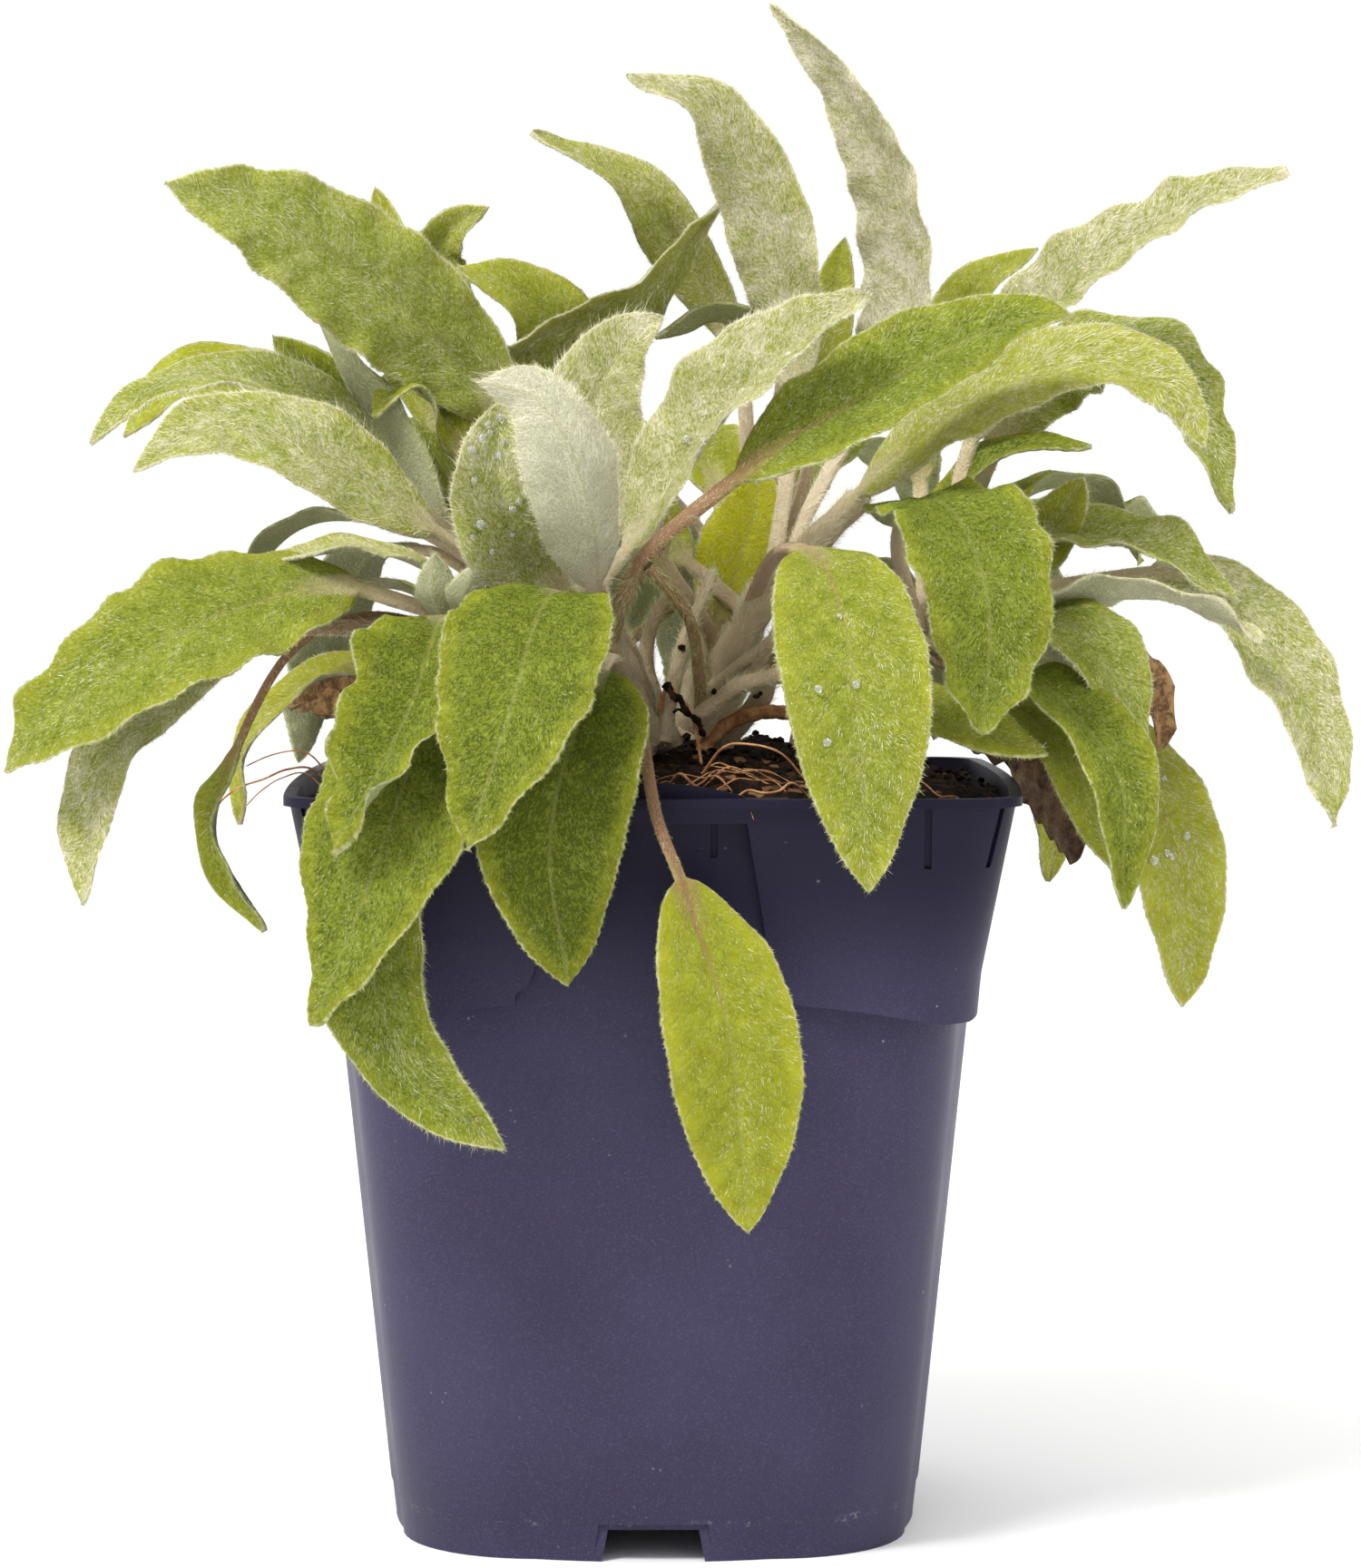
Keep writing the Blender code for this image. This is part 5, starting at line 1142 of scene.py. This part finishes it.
def leaf_felt_material():
    """Green blade seen through a fine nap of pale hair, paler below and on its rim."""
    mat, shader = new_material("woolly_leaf", (0.2, 0.33, 0.05), 0.8, Specular_IOR_Level=0.06)
    place = add(mat, "Attribute", {"attribute_name": "leaf_place"}).outputs["Vector"]
    across, _, number = add(mat, "SeparateXYZ", Vector=place).outputs
    felt, age, under = point_values(mat, "leaf_look")
    edge, stalk, brown = point_values(mat, "leaf_part")
    slant, _, along_blade = point_values(mat, "leaf_vein")
    from_rib = size_of(mat, across)

    def add_swing(value, pattern, middle, amount):
        """Raise or lower a value as a pattern rises above or falls below its middle."""
        return plus(mat, value, times(mat, minus(mat, pattern, middle), amount))

    # the nap: short streaks that follow the blade and fan out towards its rim, in wavy patches
    swirl = add(mat, "TexNoise", Vector=place, Scale=0.16, Detail=2.0).outputs["Color"]
    bent = add(mat, "VectorMath", {"operation": "MULTIPLY_ADD"}, _0=swirl, _1=(3.6, 3.6, 0.0), _2=place)
    bent = bent.outputs[0]
    bent_at = add(mat, "SeparateXYZ", Vector=bent).outputs
    streak_across = times(mat, bent_at[0], 6.0)
    streak_run = times(mat, minus(mat, bent_at[1], times(mat, from_rib, 0.7)), 3.3)
    streak_at = add(mat, "CombineXYZ", X=streak_across, Y=streak_run, Z=times(mat, number, 3.7)).outputs[0]
    streak = clouds(mat, streak_at, 1.0, 3.0, 0.72)
    grain_at = add(mat, "VectorMath", {"operation": "MULTIPLY"}, _0=streak_at, _1=(0.42, 0.5, 1.0)).outputs[0]
    grain = clouds(mat, grain_at, 1.0, 2.0, 0.6)
    patch = clouds(mat, place, 0.17, 3.0, 0.65)
    tone = clouds(mat, place, 0.6, 3.0, 0.6)
    cell = add(mat, "TexVoronoi", Vector=bent, Scale=1.5).outputs["Distance"]
    # how pale a spot is: bare green, thin nap, thick felt; a leaf's felt and an age below 0 also carry
    # painted light and shade
    pale = plus(mat, times(mat, felt, TONE_FELT), TONE_BARE)
    pale = plus(mat, pale, times(mat, maths(mat, "MINIMUM", age, 0.0), TONE_DEEP_AND_SHADED))
    pale = add_swing(pale, streak, 0.5, plus(mat, times(mat, felt, 0.45), 0.42))
    pale = add_swing(pale, tone, 0.5, 0.25)
    pale = add_swing(pale, grain, 0.5, 0.95)
    pale = add_swing(pale, patch, 0.5, plus(mat, times(mat, felt, 0.6), 0.26))
    # painted light and shade on the quilting: lighter in the middle of each small cell, darker in the creases
    # between cells
    pale = plus(mat, pale, times(mat, minus(mat, 0.4, cell), 0.2))
    colour = felt_colour(mat, pale)
    # yellow with age, more so towards the margin
    yellow = plus(mat, maths(mat, "MAXIMUM", age, 0.0), step_between(mat, edge, 5.0, 0.5, 0.0, 0.3))
    yellow = add_swing(yellow, tone, 0.55, 0.5)
    yellow = times(mat, yellow, minus(mat, 1.0, pale, clamp=True), clamp=True)
    colour = blend(mat, yellow, colour, LEAF_YELLOW)
    # side veins show as thin lines
    vein_gap = size_of(mat, minus(mat, maths(mat, "FRACT", plus(mat, slant, 0.5)), 0.5))
    colour = blend(mat, step_between(mat, vein_gap, 0.055, 0.02, 0.0, 0.12), colour, FELT_TONES[0])
    # underside, rib, stalk and rim
    below = blend(mat, step_between(mat, streak, 0.35, 0.65), UNDER_GREEN, UNDER_PALE)
    below_felt = blend(mat, step_between(mat, streak, 0.38, 0.6), UNDER_SHADE, UNDER_FELT)
    below = blend(mat, times(mat, felt, 0.8), below, below_felt)
    colour = blend(mat, times(mat, under, 0.9), colour, below)
    colour = blend(mat, times(mat, step_between(mat, from_rib, 0.55, 0.2), 0.26), colour, RIB_COLOUR)
    rib_brown = times(mat, step_between(mat, along_blade, 0.5, 0.0, 0.0, 0.7), brown)
    colour = blend(mat, times(mat, step_between(mat, from_rib, 0.75, 0.25), rib_brown), colour, STALK_BROWN)
    near_rib = step_between(mat, from_rib, 3.2, 1.7)
    near_rib = maths(mat, "MAXIMUM", near_rib, step_between(mat, along_blade, 1.5, 2.0))
    stalk = times(mat, stalk, near_rib)
    stalk_tone = blend(mat, brown, STALK_PALE, STALK_BROWN)
    stalk_tone = blend(mat, step_between(mat, streak, 0.45, 0.65, 0.0, 0.35), stalk_tone, STALK_NAP)
    colour = blend(mat, stalk, colour, stalk_tone)
    rim = times(mat, step_between(mat, edge, 0.6, 0.2), minus(mat, 1.0, stalk))
    rim_share = plus(mat, times(mat, felt, 0.5), step_between(mat, tone, 0.38, 0.62, 0.08, 0.62))
    colour = blend(mat, times(mat, rim, rim_share), colour, RIM_COLOUR)
    connect(mat, colour, shader, "Base Color")
    emboss(mat, shader, minus(mat, plus(mat, streak, grain), times(mat, cell, 0.4)), 1.0, 0.0005)
    return mat


# ------------------------------------------------------------------ shoots: leaf hairs
# Everything green is covered in soft white hairs, most of them 0.5 to 3 mm
# long. They lie forward along the blade, lean outwards to the rim and stand on
# it as a fringe.
HAIR_WIDTH = 0.07
HAIR_TONES = 24
PALEST = 0.999
STEM_HAIR_TONE = 0.9
HAIR_TIP = (0.9, 0.9, 0.7)
# how many on a square millimetre of face or stem and on a millimetre of rim, the
# share of them that a small leaf has, and the share of long ones
HAIRS_TOP = 5.1
HAIRS_UNDER = 1.9
HAIRS_STEM = 5.5
HAIRS_RIM = 7.0
HAIRS_SMALL_LEAF = 0.75
LONG_HAIRS = 0.08


def grid_spots(grid, per_mm2, draw):
    """Random spots on a grid surface: cell, how far across it, position, and both headings."""
    along = np.diff(grid, axis=0)[:, :-1]
    across = np.diff(grid, axis=1)[:-1]
    area = np.linalg.norm(np.cross(along, across), axis=-1)
    number = draw.poisson(area.sum() * per_mm2)
    cell = draw.choice(area.size, number, p=(area / area.sum()).ravel())
    i, j = np.unravel_index(cell, area.shape)
    s, t = draw.random(number), draw.random(number)
    spot = grid[i, j] + along[i, j] * s[:, None] + across[i, j] * t[:, None]
    return i, j, t, spot, unit(along[i, j]), unit(across[i, j])


def hair_slivers(root, heading, width_way, length, width):
    """Corner points of one thin triangle per hair."""
    spread = width_way * (width / 2)[:, None]
    return np.stack((root - spread, root + spread, root + heading * length[:, None]), 1)


def leaf_tone(lf):
    """How pale the hairs of a leaf look: they let the green through where they are thin."""
    # an age below 0 darkens the hairs too: a deeper green, partly painted shade
    return TONE_BARE + TONE_FELT * lf.felt + TONE_DEEP_AND_SHADED * min(lf.age, 0)


def face_hairs(lf, grids, side, per_mm2, draw):
    """Hairs on one face of a leaf: combed forward and outwards, in swirls, with some tufts of long ones."""
    grid = grids[side]
    i, j, t, spot, along, across = grid_spots(grid, per_mm2, draw)
    normal = unit(np.cross(along, across)) * (-1 if side == "top" else 1)
    middle = (grid.shape[1] - 1) / 2
    outward = (j + t - middle) / middle
    place, run, shade = grids["across"][i, j], grids["run"][i, j], grids["shade"]
    swirl = 0.75 * np.sin(run / 4.3 + place / 2.9 + shade * 9) + 0.5 * np.sin(run / 2.3 - place / 2.1)
    tuft = np.sin(run / 6.1 + shade * 20) * np.sin(place / 3.7 + run / 9 + shade * 7)
    long = (draw.random(len(i)) < LONG_HAIRS * (1 + 2.2 * tuft)) & (tuft > -0.3)
    turn = outward * 0.8 + swirl * 0.55 + draw.normal(0, 0.38, len(i)) * np.where(long, 0.5, 1)
    flat = along * np.cos(turn)[:, None] + across * np.sin(turn)[:, None]
    lean = np.radians(draw.uniform(5, 24, len(i)) + (draw.random(len(i)) < 0.1) * 26)
    heading = unit(flat * np.cos(lean)[:, None] + normal * np.sin(lean)[:, None])
    length = draw.uniform(0.35, 1.05, len(i)) * (0.55 + lf.felt) * np.where(long, 1.6 + 1.6 * lf.felt, 1)
    width_way = unit(np.cross(heading, normal) + normal * draw.normal(0, 0.35, len(i))[:, None])
    width = HAIR_WIDTH * draw.uniform(0.7, 1.25, len(i))
    # a share of hairs is paler: the long ones, and others whose paler tone is a painted glint of light off
    # the hairs
    pale_and_glinting = (draw.random(len(i)) < 0.24 + 0.22 * lf.felt) | long
    tone = draw.normal(leaf_tone(lf) + 0.09, 0.05, len(i)) + pale_and_glinting * draw.uniform(0.2, 0.55, len(i))
    return hair_slivers(spot, heading, width_way, length, width), np.clip(tone, 0, PALEST)


def rim_hairs(lf, top, column, inner_column, draw):
    """The fringe along one rim of a leaf."""
    rim = top[:, column]
    step = np.linalg.norm(np.diff(rim, axis=0), axis=1)
    number = draw.poisson(step.sum() * HAIRS_RIM)
    i = draw.choice(len(step), number, p=step / step.sum())
    s = draw.random(number)[:, None]
    spot = rim[i] * (1 - s) + rim[i + 1] * s
    along = unit(rim[i + 1] - rim[i])
    outward = unit(rim[i] - top[i, inner_column])
    normal = unit(np.cross(along, outward))
    heading = (outward * draw.uniform(0.45, 1.1, number)[:, None]
               + along * draw.uniform(0.1, 1.0, number)[:, None]
               + normal * draw.normal(0, 0.4, number)[:, None])
    heading = unit(heading)
    length = draw.uniform(0.3, 0.9, number) * (0.75 + 0.8 * lf.felt)
    width_way = unit(np.cross(heading, normal))
    tone = np.clip(draw.normal(0.22 + leaf_tone(lf), 0.15, number), 0, PALEST)
    width = HAIR_WIDTH * draw.uniform(0.7, 1.2, number)
    return hair_slivers(spot - outward * 0.15, heading, width_way, length, width), tone


def leaf_hairs(lf, grids, draw):
    """All hairs of one leaf, as triangles and tones: both faces, then both rims."""
    thickness = 0.78 + 0.5 * lf.felt
    share = 1.0 if lf.fine else HAIRS_SMALL_LEAF
    return [face_hairs(lf, grids, "top", HAIRS_TOP * thickness * share, draw),
            face_hairs(lf, grids, "under", HAIRS_UNDER * thickness * share, draw),
            rim_hairs(lf, grids["top"], 0, 1, draw),
            rim_hairs(lf, grids["top"], -1, -2, draw)]


def stem_hairs(tube, tone, draw):
    """Hairs that stand out all round a stem."""
    i, _, _, spot, along, across = grid_spots(tube, HAIRS_STEM, draw)
    normal = unit(spot - tube[i].mean(1))
    heading = (normal * draw.uniform(0.3, 1.0, len(i))[:, None]
               + along * draw.uniform(0.2, 1.0, len(i))[:, None]
               + across * draw.normal(0, 0.5, len(i))[:, None])
    heading = unit(heading)
    width_way = unit(np.cross(heading, normal))
    length = draw.uniform(1.0, 2.6, len(i))
    width = np.full(len(i), HAIR_WIDTH)
    tones = np.clip(draw.normal(tone, 0.12, len(i)), 0, PALEST)
    return [(hair_slivers(spot, heading, width_way, length, width), tones)]


def build_hairs(name, found, mat):
    """One mesh of all hairs of a shoot; hairs of one tone share a place on its map."""
    triangles = np.concatenate([slivers for slivers, _ in found])
    tones = np.concatenate([tones for _, tones in found])
    tones = np.minimum((tones * HAIR_TONES).astype(int), HAIR_TONES - 1)
    number = len(triangles)
    tone = np.repeat(tones / (HAIR_TONES - 1), 3)
    tip = np.tile((0.0, 0.0, 1.0), number)
    u = (np.repeat(tones, 3) + np.tile((0.15, 0.85, 0.5), number)) / HAIR_TONES
    v = np.tile((0.05, 0.05, 0.95), number)
    corners = np.arange(number * 3).reshape(-1, 3)
    values = {"hair": np.stack((tone, tip, tone * 0), -1)}
    mesh = mesh_from_arrays(name, triangles.reshape(-1, 3), corners, values, np.stack((u, v), -1), mat)
    return placed(name, mesh)


hair_mat, hair_shader = new_material("white_hair", (0.72, 0.74, 0.55), 0.5, Specular_IOR_Level=0.2)
hair_tone, hair_tip, _ = point_values(hair_mat, "hair")
hair_colour = blend(hair_mat, times(hair_mat, hair_tip, 0.2), felt_colour(hair_mat, hair_tone), HAIR_TIP)
connect(hair_mat, hair_colour, hair_shader, "Base Color")
leaf_mat = leaf_felt_material()
# each shoot has its stem, its bare stalks and its leaves in one mesh, and their hairs in another
drop_homes = {}
for shoot_number, (shoot_name, stem_path, leaves) in enumerate(SHOOTS):
    shoot_draw = np.random.default_rng(100 + shoot_number)
    stalks = [stalk[1:] for stalk in BARE_STALKS if stalk[0] == shoot_name]
    piece = Gathered(2 * len(leaves) + 1 + len(stalks))
    foot = stem_path[0]
    buried = ((foot[0], foot[1], STEM_BURIED_Z), (foot[0], foot[1], foot[2] - 5))
    stem = add_tube(piece, buried + stem_path, STEM_RADIUS, STEM_RADIUS * 0.8, STEM_STATIONS, STEM_BROWN)
    hairs = stem_hairs(stem[STEM_ABOVE_SOIL:], STEM_HAIR_TONE, shoot_draw)
    for stalk_path, thick, thin, brown in stalks:
        stalk_tube = add_tube(piece, stalk_path, thick, thin, STALK_STATIONS, brown)
        hairs += stem_hairs(stalk_tube, STEM_HAIR_TONE - 0.35 * brown, shoot_draw)
    for leaf_number, lf in enumerate(leaves):
        grids = leaf_grids(lf, 1.7 * leaf_number, 1000 * shoot_number + leaf_number)
        add_leaf(piece, lf, grids, leaf_number + 20 * shoot_number)
        hairs += leaf_hairs(lf, grids, shoot_draw)
        drop_homes[shoot_name, leaf_number] = grids
    shoot = piece.build(shoot_name + "_leaves", leaf_mat)
    wool = build_hairs(shoot_name + "_hairs", hairs, hair_mat)
    for part_of_shoot in (shoot, wool):
        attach(part_of_shoot, "root")
    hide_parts(shoot_name)


# ------------------------------------------------------------------ water drops
# Small clear beads of water rest on the felt of a few leaves. The hairs hold
# them up, so they stay nearly round.
DROP_ZONES = (
    # shoot, leaf, from and to which share of its length, from and to which place across
    # it (-1 to 1), and how many
    ("shoot_front", 1, 0.4, 0.95, -0.75, 0.3, 16),
    ("shoot_front", 0, 0.3, 0.75, -0.6, 0.7, 6),
    ("shoot_right", 8, 0.28, 0.6, -0.5, 0.6, 16),
    ("shoot_centre", 3, 0.45, 0.95, -0.7, 0.7, 4),
)
DROP_RADIUS = (0.45, 0.95)
DROP_FLATNESS = 0.7

water_mat, water_shader = new_material("clear_water", (1.0, 1.0, 1.0), 0.02,
                                       Transmission_Weight=0.8, IOR=1.33)
water_at = add(water_mat, "TexCoord").outputs["Object"]
water_skin = clouds(water_mat, water_at, 900.0, 1.0)
connect(water_mat, step_between(water_mat, water_skin, 0.3, 0.7, 0.0, 0.04), water_shader, "Roughness")
drop_draw = random.Random(5)
drop_bm = bmesh.new()
for shoot_name, leaf_number, share_low, share_high, u_low, u_high, drop_count in DROP_ZONES:
    grids = drop_homes[shoot_name, leaf_number]
    top = grids["top"]
    for _ in range(drop_count):
        station = int(drop_draw.uniform(share_low, share_high) * (len(top) - 2))
        column = int(np.argmin(abs(grids["u"][station] - drop_draw.uniform(u_low, u_high))))
        column = min(max(column, 1), top.shape[1] - 3)
        corner = top[station, column]
        along = unit(top[station + 1, column] - corner)
        across = unit(top[station, column + 1] - corner)
        normal = Vector(unit(-np.cross(along, across)))
        radius = drop_draw.uniform(*DROP_RADIUS)
        middle = Vector(corner + along * drop_draw.uniform(0, 1)) + normal * (radius * DROP_FLATNESS * 0.8)
        for v in bmesh.ops.create_icosphere(drop_bm, subdivisions=2, radius=radius)["verts"]:
            v.co = (middle + v.co - normal * v.co.dot(normal) * (1 - DROP_FLATNESS)) * MM
for drop_face in drop_bm.faces:
    drop_face.smooth = True
drops = placed_bmesh("water_drops", drop_bm)
drops.data.materials.append(water_mat)
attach(drops, "root")


# ------------------------------------------------------------------ withered leaves
# Two dead leaves, and the dry tip of a third, stand at the sides of the crown:
# brown, dry and crumpled, with their edges rolled in, on thin shrunken stalks.
WITHERED = (
    ("withered_leaf_left",
     leaf(((-38, 6, 132), (-38, 6, 148), (-47, 2, 154.5), (-60, -4, 157.5), (-77, -6, 156)),
          15, (-0.1, -0.7, 0.8), 0.5, 24, 1.4, 0, 1, 1)),
    ("withered_leaf_right",
     leaf(((40, 24, 132), (40, 24, 149), (52, 16, 151), (67, 8, 145), (77, 4, 125)),
          14, (0.4, -0.9, 0.4), 0.5, 24, 1.4, 0, 1, 1)),
    ("dead_leaf_tip",
     leaf(((72, -33, 171), (80, -31, 168), (86, -31, 164), (89, -31, 158), (90, -31, 150)),
          8, (0.6, -0.9, 0.3), 0.3, 20, 1.0, 0, 1, 1)),
)
CRUMPLE = 1.1
DRY_DARK = (0.10, 0.047, 0.017)
DRY_BROWN = (0.38, 0.215, 0.08)
DRY_FIBRE = (0.55, 0.36, 0.18)
DRY_DARKER = (0.035, 0.018, 0.014)

dry_mat, dry_shader = new_material("dry_leaf", (0.1, 0.05, 0.02), 0.85)
dry_place = add(dry_mat, "Attribute", {"attribute_name": "leaf_place"}).outputs["Vector"]
dry_patch = clouds(dry_mat, dry_place, 0.5, 5.0, 0.65)
dry_fibre = clouds(dry_mat, dry_place, 3.5, 4.0)
dry_colour = blend(dry_mat, step_between(dry_mat, dry_patch, 0.38, 0.62), DRY_DARK, DRY_BROWN)
dry_colour = blend(dry_mat, step_between(dry_mat, dry_fibre, 0.52, 0.72, 0.0, 0.6), dry_colour, DRY_FIBRE)
# the leaf at the right is darker than the other two
dry_number = add(dry_mat, "SeparateXYZ", Vector=dry_place).outputs["Z"]
dry_colour = blend(dry_mat, times(dry_mat, dry_number, 0.72, clamp=True), dry_colour, DRY_DARKER)
connect(dry_mat, dry_colour, dry_shader, "Base Color")
emboss(dry_mat, dry_shader, dry_fibre, 0.9, 0.0004)
for withered_number, (withered_name, lf) in enumerate(WITHERED):
    grids = leaf_grids(lf, 0.5, 70 + withered_number)
    run, across = grids["run"], grids["across"]
    wrinkle = np.sin(run / 1.3 + across * 0.9) + np.sin(run / 0.83 - across * 1.4)
    for face in ("top", "under"):
        grids[face][..., 2] += wrinkle * CRUMPLE / 2 * grids["blade"]
    piece = Gathered(2)
    add_leaf(piece, lf, grids, withered_number % 2)
    withered = piece.build(withered_name + "_dry", dry_mat)
    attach(withered, "root")
    if withered_name.startswith("withered"):
        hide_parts(withered_name)


# ------------------------------------------------------------------ roots
# An old root 3 mm thick arches over the soil, ringed and rough with bark. Thin
# orange and tan feeder roots loop over the soil and the rim, and two dead twigs
# cling to the stems.
SURFACE_ROOT = ((4, -14, 133), (4, -14, 147), (9, -13, 153), (17, -15, 155.5), (25, -17, 153.5),
                (30, -19, 146), (30, -19, 133))
ROOT_RADIUS = 1.5
ROOT_SIDES = 12
FEEDER_ROOTS = (
    # radius, points
    (0.32, ((-2, -52, 144), (0, -58, 146.3), (2.6, -58, 144.1), (7.2, -58, 142), (10, -58, 142),
            (12.2, -58, 143.3), (15.1, -58, 142.8), (17.9, -58, 143.2), (20.4, -56, 144.5), (24, -50, 141))),
    (0.28, ((4, -40, 145), (7.5, -46, 150.1), (11.3, -46, 151.1), (18.3, -46, 149.4), (24, -44, 143))),
    (0.45, ((-4, -26, 156), (-2.5, -28, 160.8), (-0.3, -28, 158.9), (1.7, -28, 156.4), (2.7, -28, 153.5),
            (4, -28, 146))),
    # three that hang over the rim's left side
    (0.24, ((-63, -18, 137), (-69, -20, 144.5), (-74, -22, 145), (-78.6, -24, 143.2), (-83.4, -24, 141.5),
            (-87.2, -24, 138.2), (-88.2, -24, 133.6), (-87.2, -24, 129.3), (-86.1, -24, 126.4))),
    (0.2, ((-63, -21, 137), (-68, -23, 146), (-71.7, -24, 148.5), (-76.9, -24, 147.8), (-82, -24, 145.6))),
    (0.18, ((-64, -24, 137), (-70, -24, 144), (-75, -25, 143.5), (-79, -25, 141), (-82.1, -24, 137.9))),
)
DEAD_TWIGS = (
    # radius, points
    (0.75, ((-2.9, -30, 161.7), (-1.5, -30, 159.4), (0.0, -30, 158.3),
            (1.2, -30, 156.0), (3.1, -29, 154.6), (4.4, -28, 151.4))),
    (0.4, ((1.2, -30, 156.0), (-0.3, -31, 156.7), (-1.4, -32, 156.2))),
)
FINE_ROOTS = 16
FINE_ROOTS_ASIDE = 5
FINE_ROOT_STEP = 3.4
FINE_ROOT_RADIUS = (0.13, 0.22)
# x from, x to, y from, y to: the front of the soil, then two patches aside
FINE_ROOT_PATCHES = ((-8, 24, -60, -34), (-70, -62, -20, 10), (46, 62, -58, -30))
BARK_ORANGE = (0.42, 0.16, 0.055)
BARK_TAN = (0.66, 0.36, 0.16)
BARK_CRACK = (0.13, 0.05, 0.02)


def root_piece(name, points, radius, taper, stations, mat, knots=0.0, sides=ROOT_SIDES):
    """A root as a closed tube, ringed by small knots where it is old."""
    fractions = np.linspace(0, 1, stations)
    path, length = smooth_path(np.array(points, float), fractions)
    along = unit(np.gradient(path, axis=0))
    side = unit(np.cross(along, (0.3, 0.9, 0.2)))
    up = np.cross(along, side)
    angle = np.linspace(0, 2 * np.pi, sides, endpoint=False)[None, :]
    run = (fractions * length)[:, None]
    thick = radius * (1 - taper * fractions)[:, None]
    rings = 1 + knots * np.sin(run * 2.1 + np.sin(angle)) + 0.6 * knots * np.sin(run * 5.3 + 2 * angle)
    thick = thick * rings
    thick = thick * np.sqrt(np.clip(np.minimum(fractions, 1 - fractions) * 60, 0.02, 1))[:, None]
    ring = np.cos(angle)[..., None] * side[:, None, :] + np.sin(angle)[..., None] * up[:, None, :]
    root = loft(name, path[:, None, :] + thick[..., None] * ring)
    root.data.materials.append(mat)
    root.data.shade_smooth()
    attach(root, "root")
    return root


bark_mat, bark_shader = new_material("root_bark", (0.33, 0.14, 0.05), 0.75)
bark_at = add(bark_mat, "TexCoord").outputs["Object"]
bark_patch = clouds(bark_mat, bark_at, 420.0, 4.0)
bark_fine = clouds(bark_mat, bark_at, 2400.0, 3.0)
bark_colour = blend(bark_mat, step_between(bark_mat, bark_patch, 0.35, 0.65), BARK_ORANGE, BARK_TAN)
bark_colour = blend(bark_mat, step_between(bark_mat, bark_fine, 0.5, 0.72, 0.0, 0.7), bark_colour, BARK_CRACK)
connect(bark_mat, bark_colour, bark_shader, "Base Color")
emboss(bark_mat, bark_shader, bark_fine, 0.8, 0.0002)
surface_root = root_piece("surface_root_bark", SURFACE_ROOT, ROOT_RADIUS, 0.13, 90, bark_mat, 0.06)
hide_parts("surface_root")
for feeder_number, (feeder_radius, feeder_points) in enumerate(FEEDER_ROOTS):
    root_piece(f"feeder_root_{feeder_number}", feeder_points, feeder_radius, 0.4, 60, bark_mat, 0.05)
for twig_number, (twig_radius, twig_points) in enumerate(DEAD_TWIGS):
    root_piece(f"dead_twig_{twig_number}", twig_points, twig_radius, 0.3, 40, soil_mat, 0.3, 8)
root_draw = random.Random(17)
for fine_number in range(FINE_ROOTS):
    patch = 0 if fine_number < FINE_ROOTS - FINE_ROOTS_ASIDE else 1 + fine_number % 2
    x_low, x_high, y_low, y_high = FINE_ROOT_PATCHES[patch]
    x = root_draw.uniform(x_low, x_high)
    y = root_draw.uniform(y_low, y_high)
    heading = root_draw.uniform(-0.9, 0.9) + (math.pi if x > 8 else 0)
    fine_path = []
    for k in range(6):
        lift = -1.0 if k in (0, 5) else root_draw.uniform(0.2, 1.8)
        fine_path.append((x, y, soil_height(x, y) + 0.6 + lift))
        heading += root_draw.uniform(-0.6, 0.6)
        x += FINE_ROOT_STEP * math.cos(heading)
        y += FINE_ROOT_STEP * math.sin(heading)
    fine_radius = root_draw.uniform(*FINE_ROOT_RADIUS)
    root_piece(f"fine_root_{fine_number:02d}", fine_path, fine_radius, 0.5, 24, bark_mat, 0.05, 6)
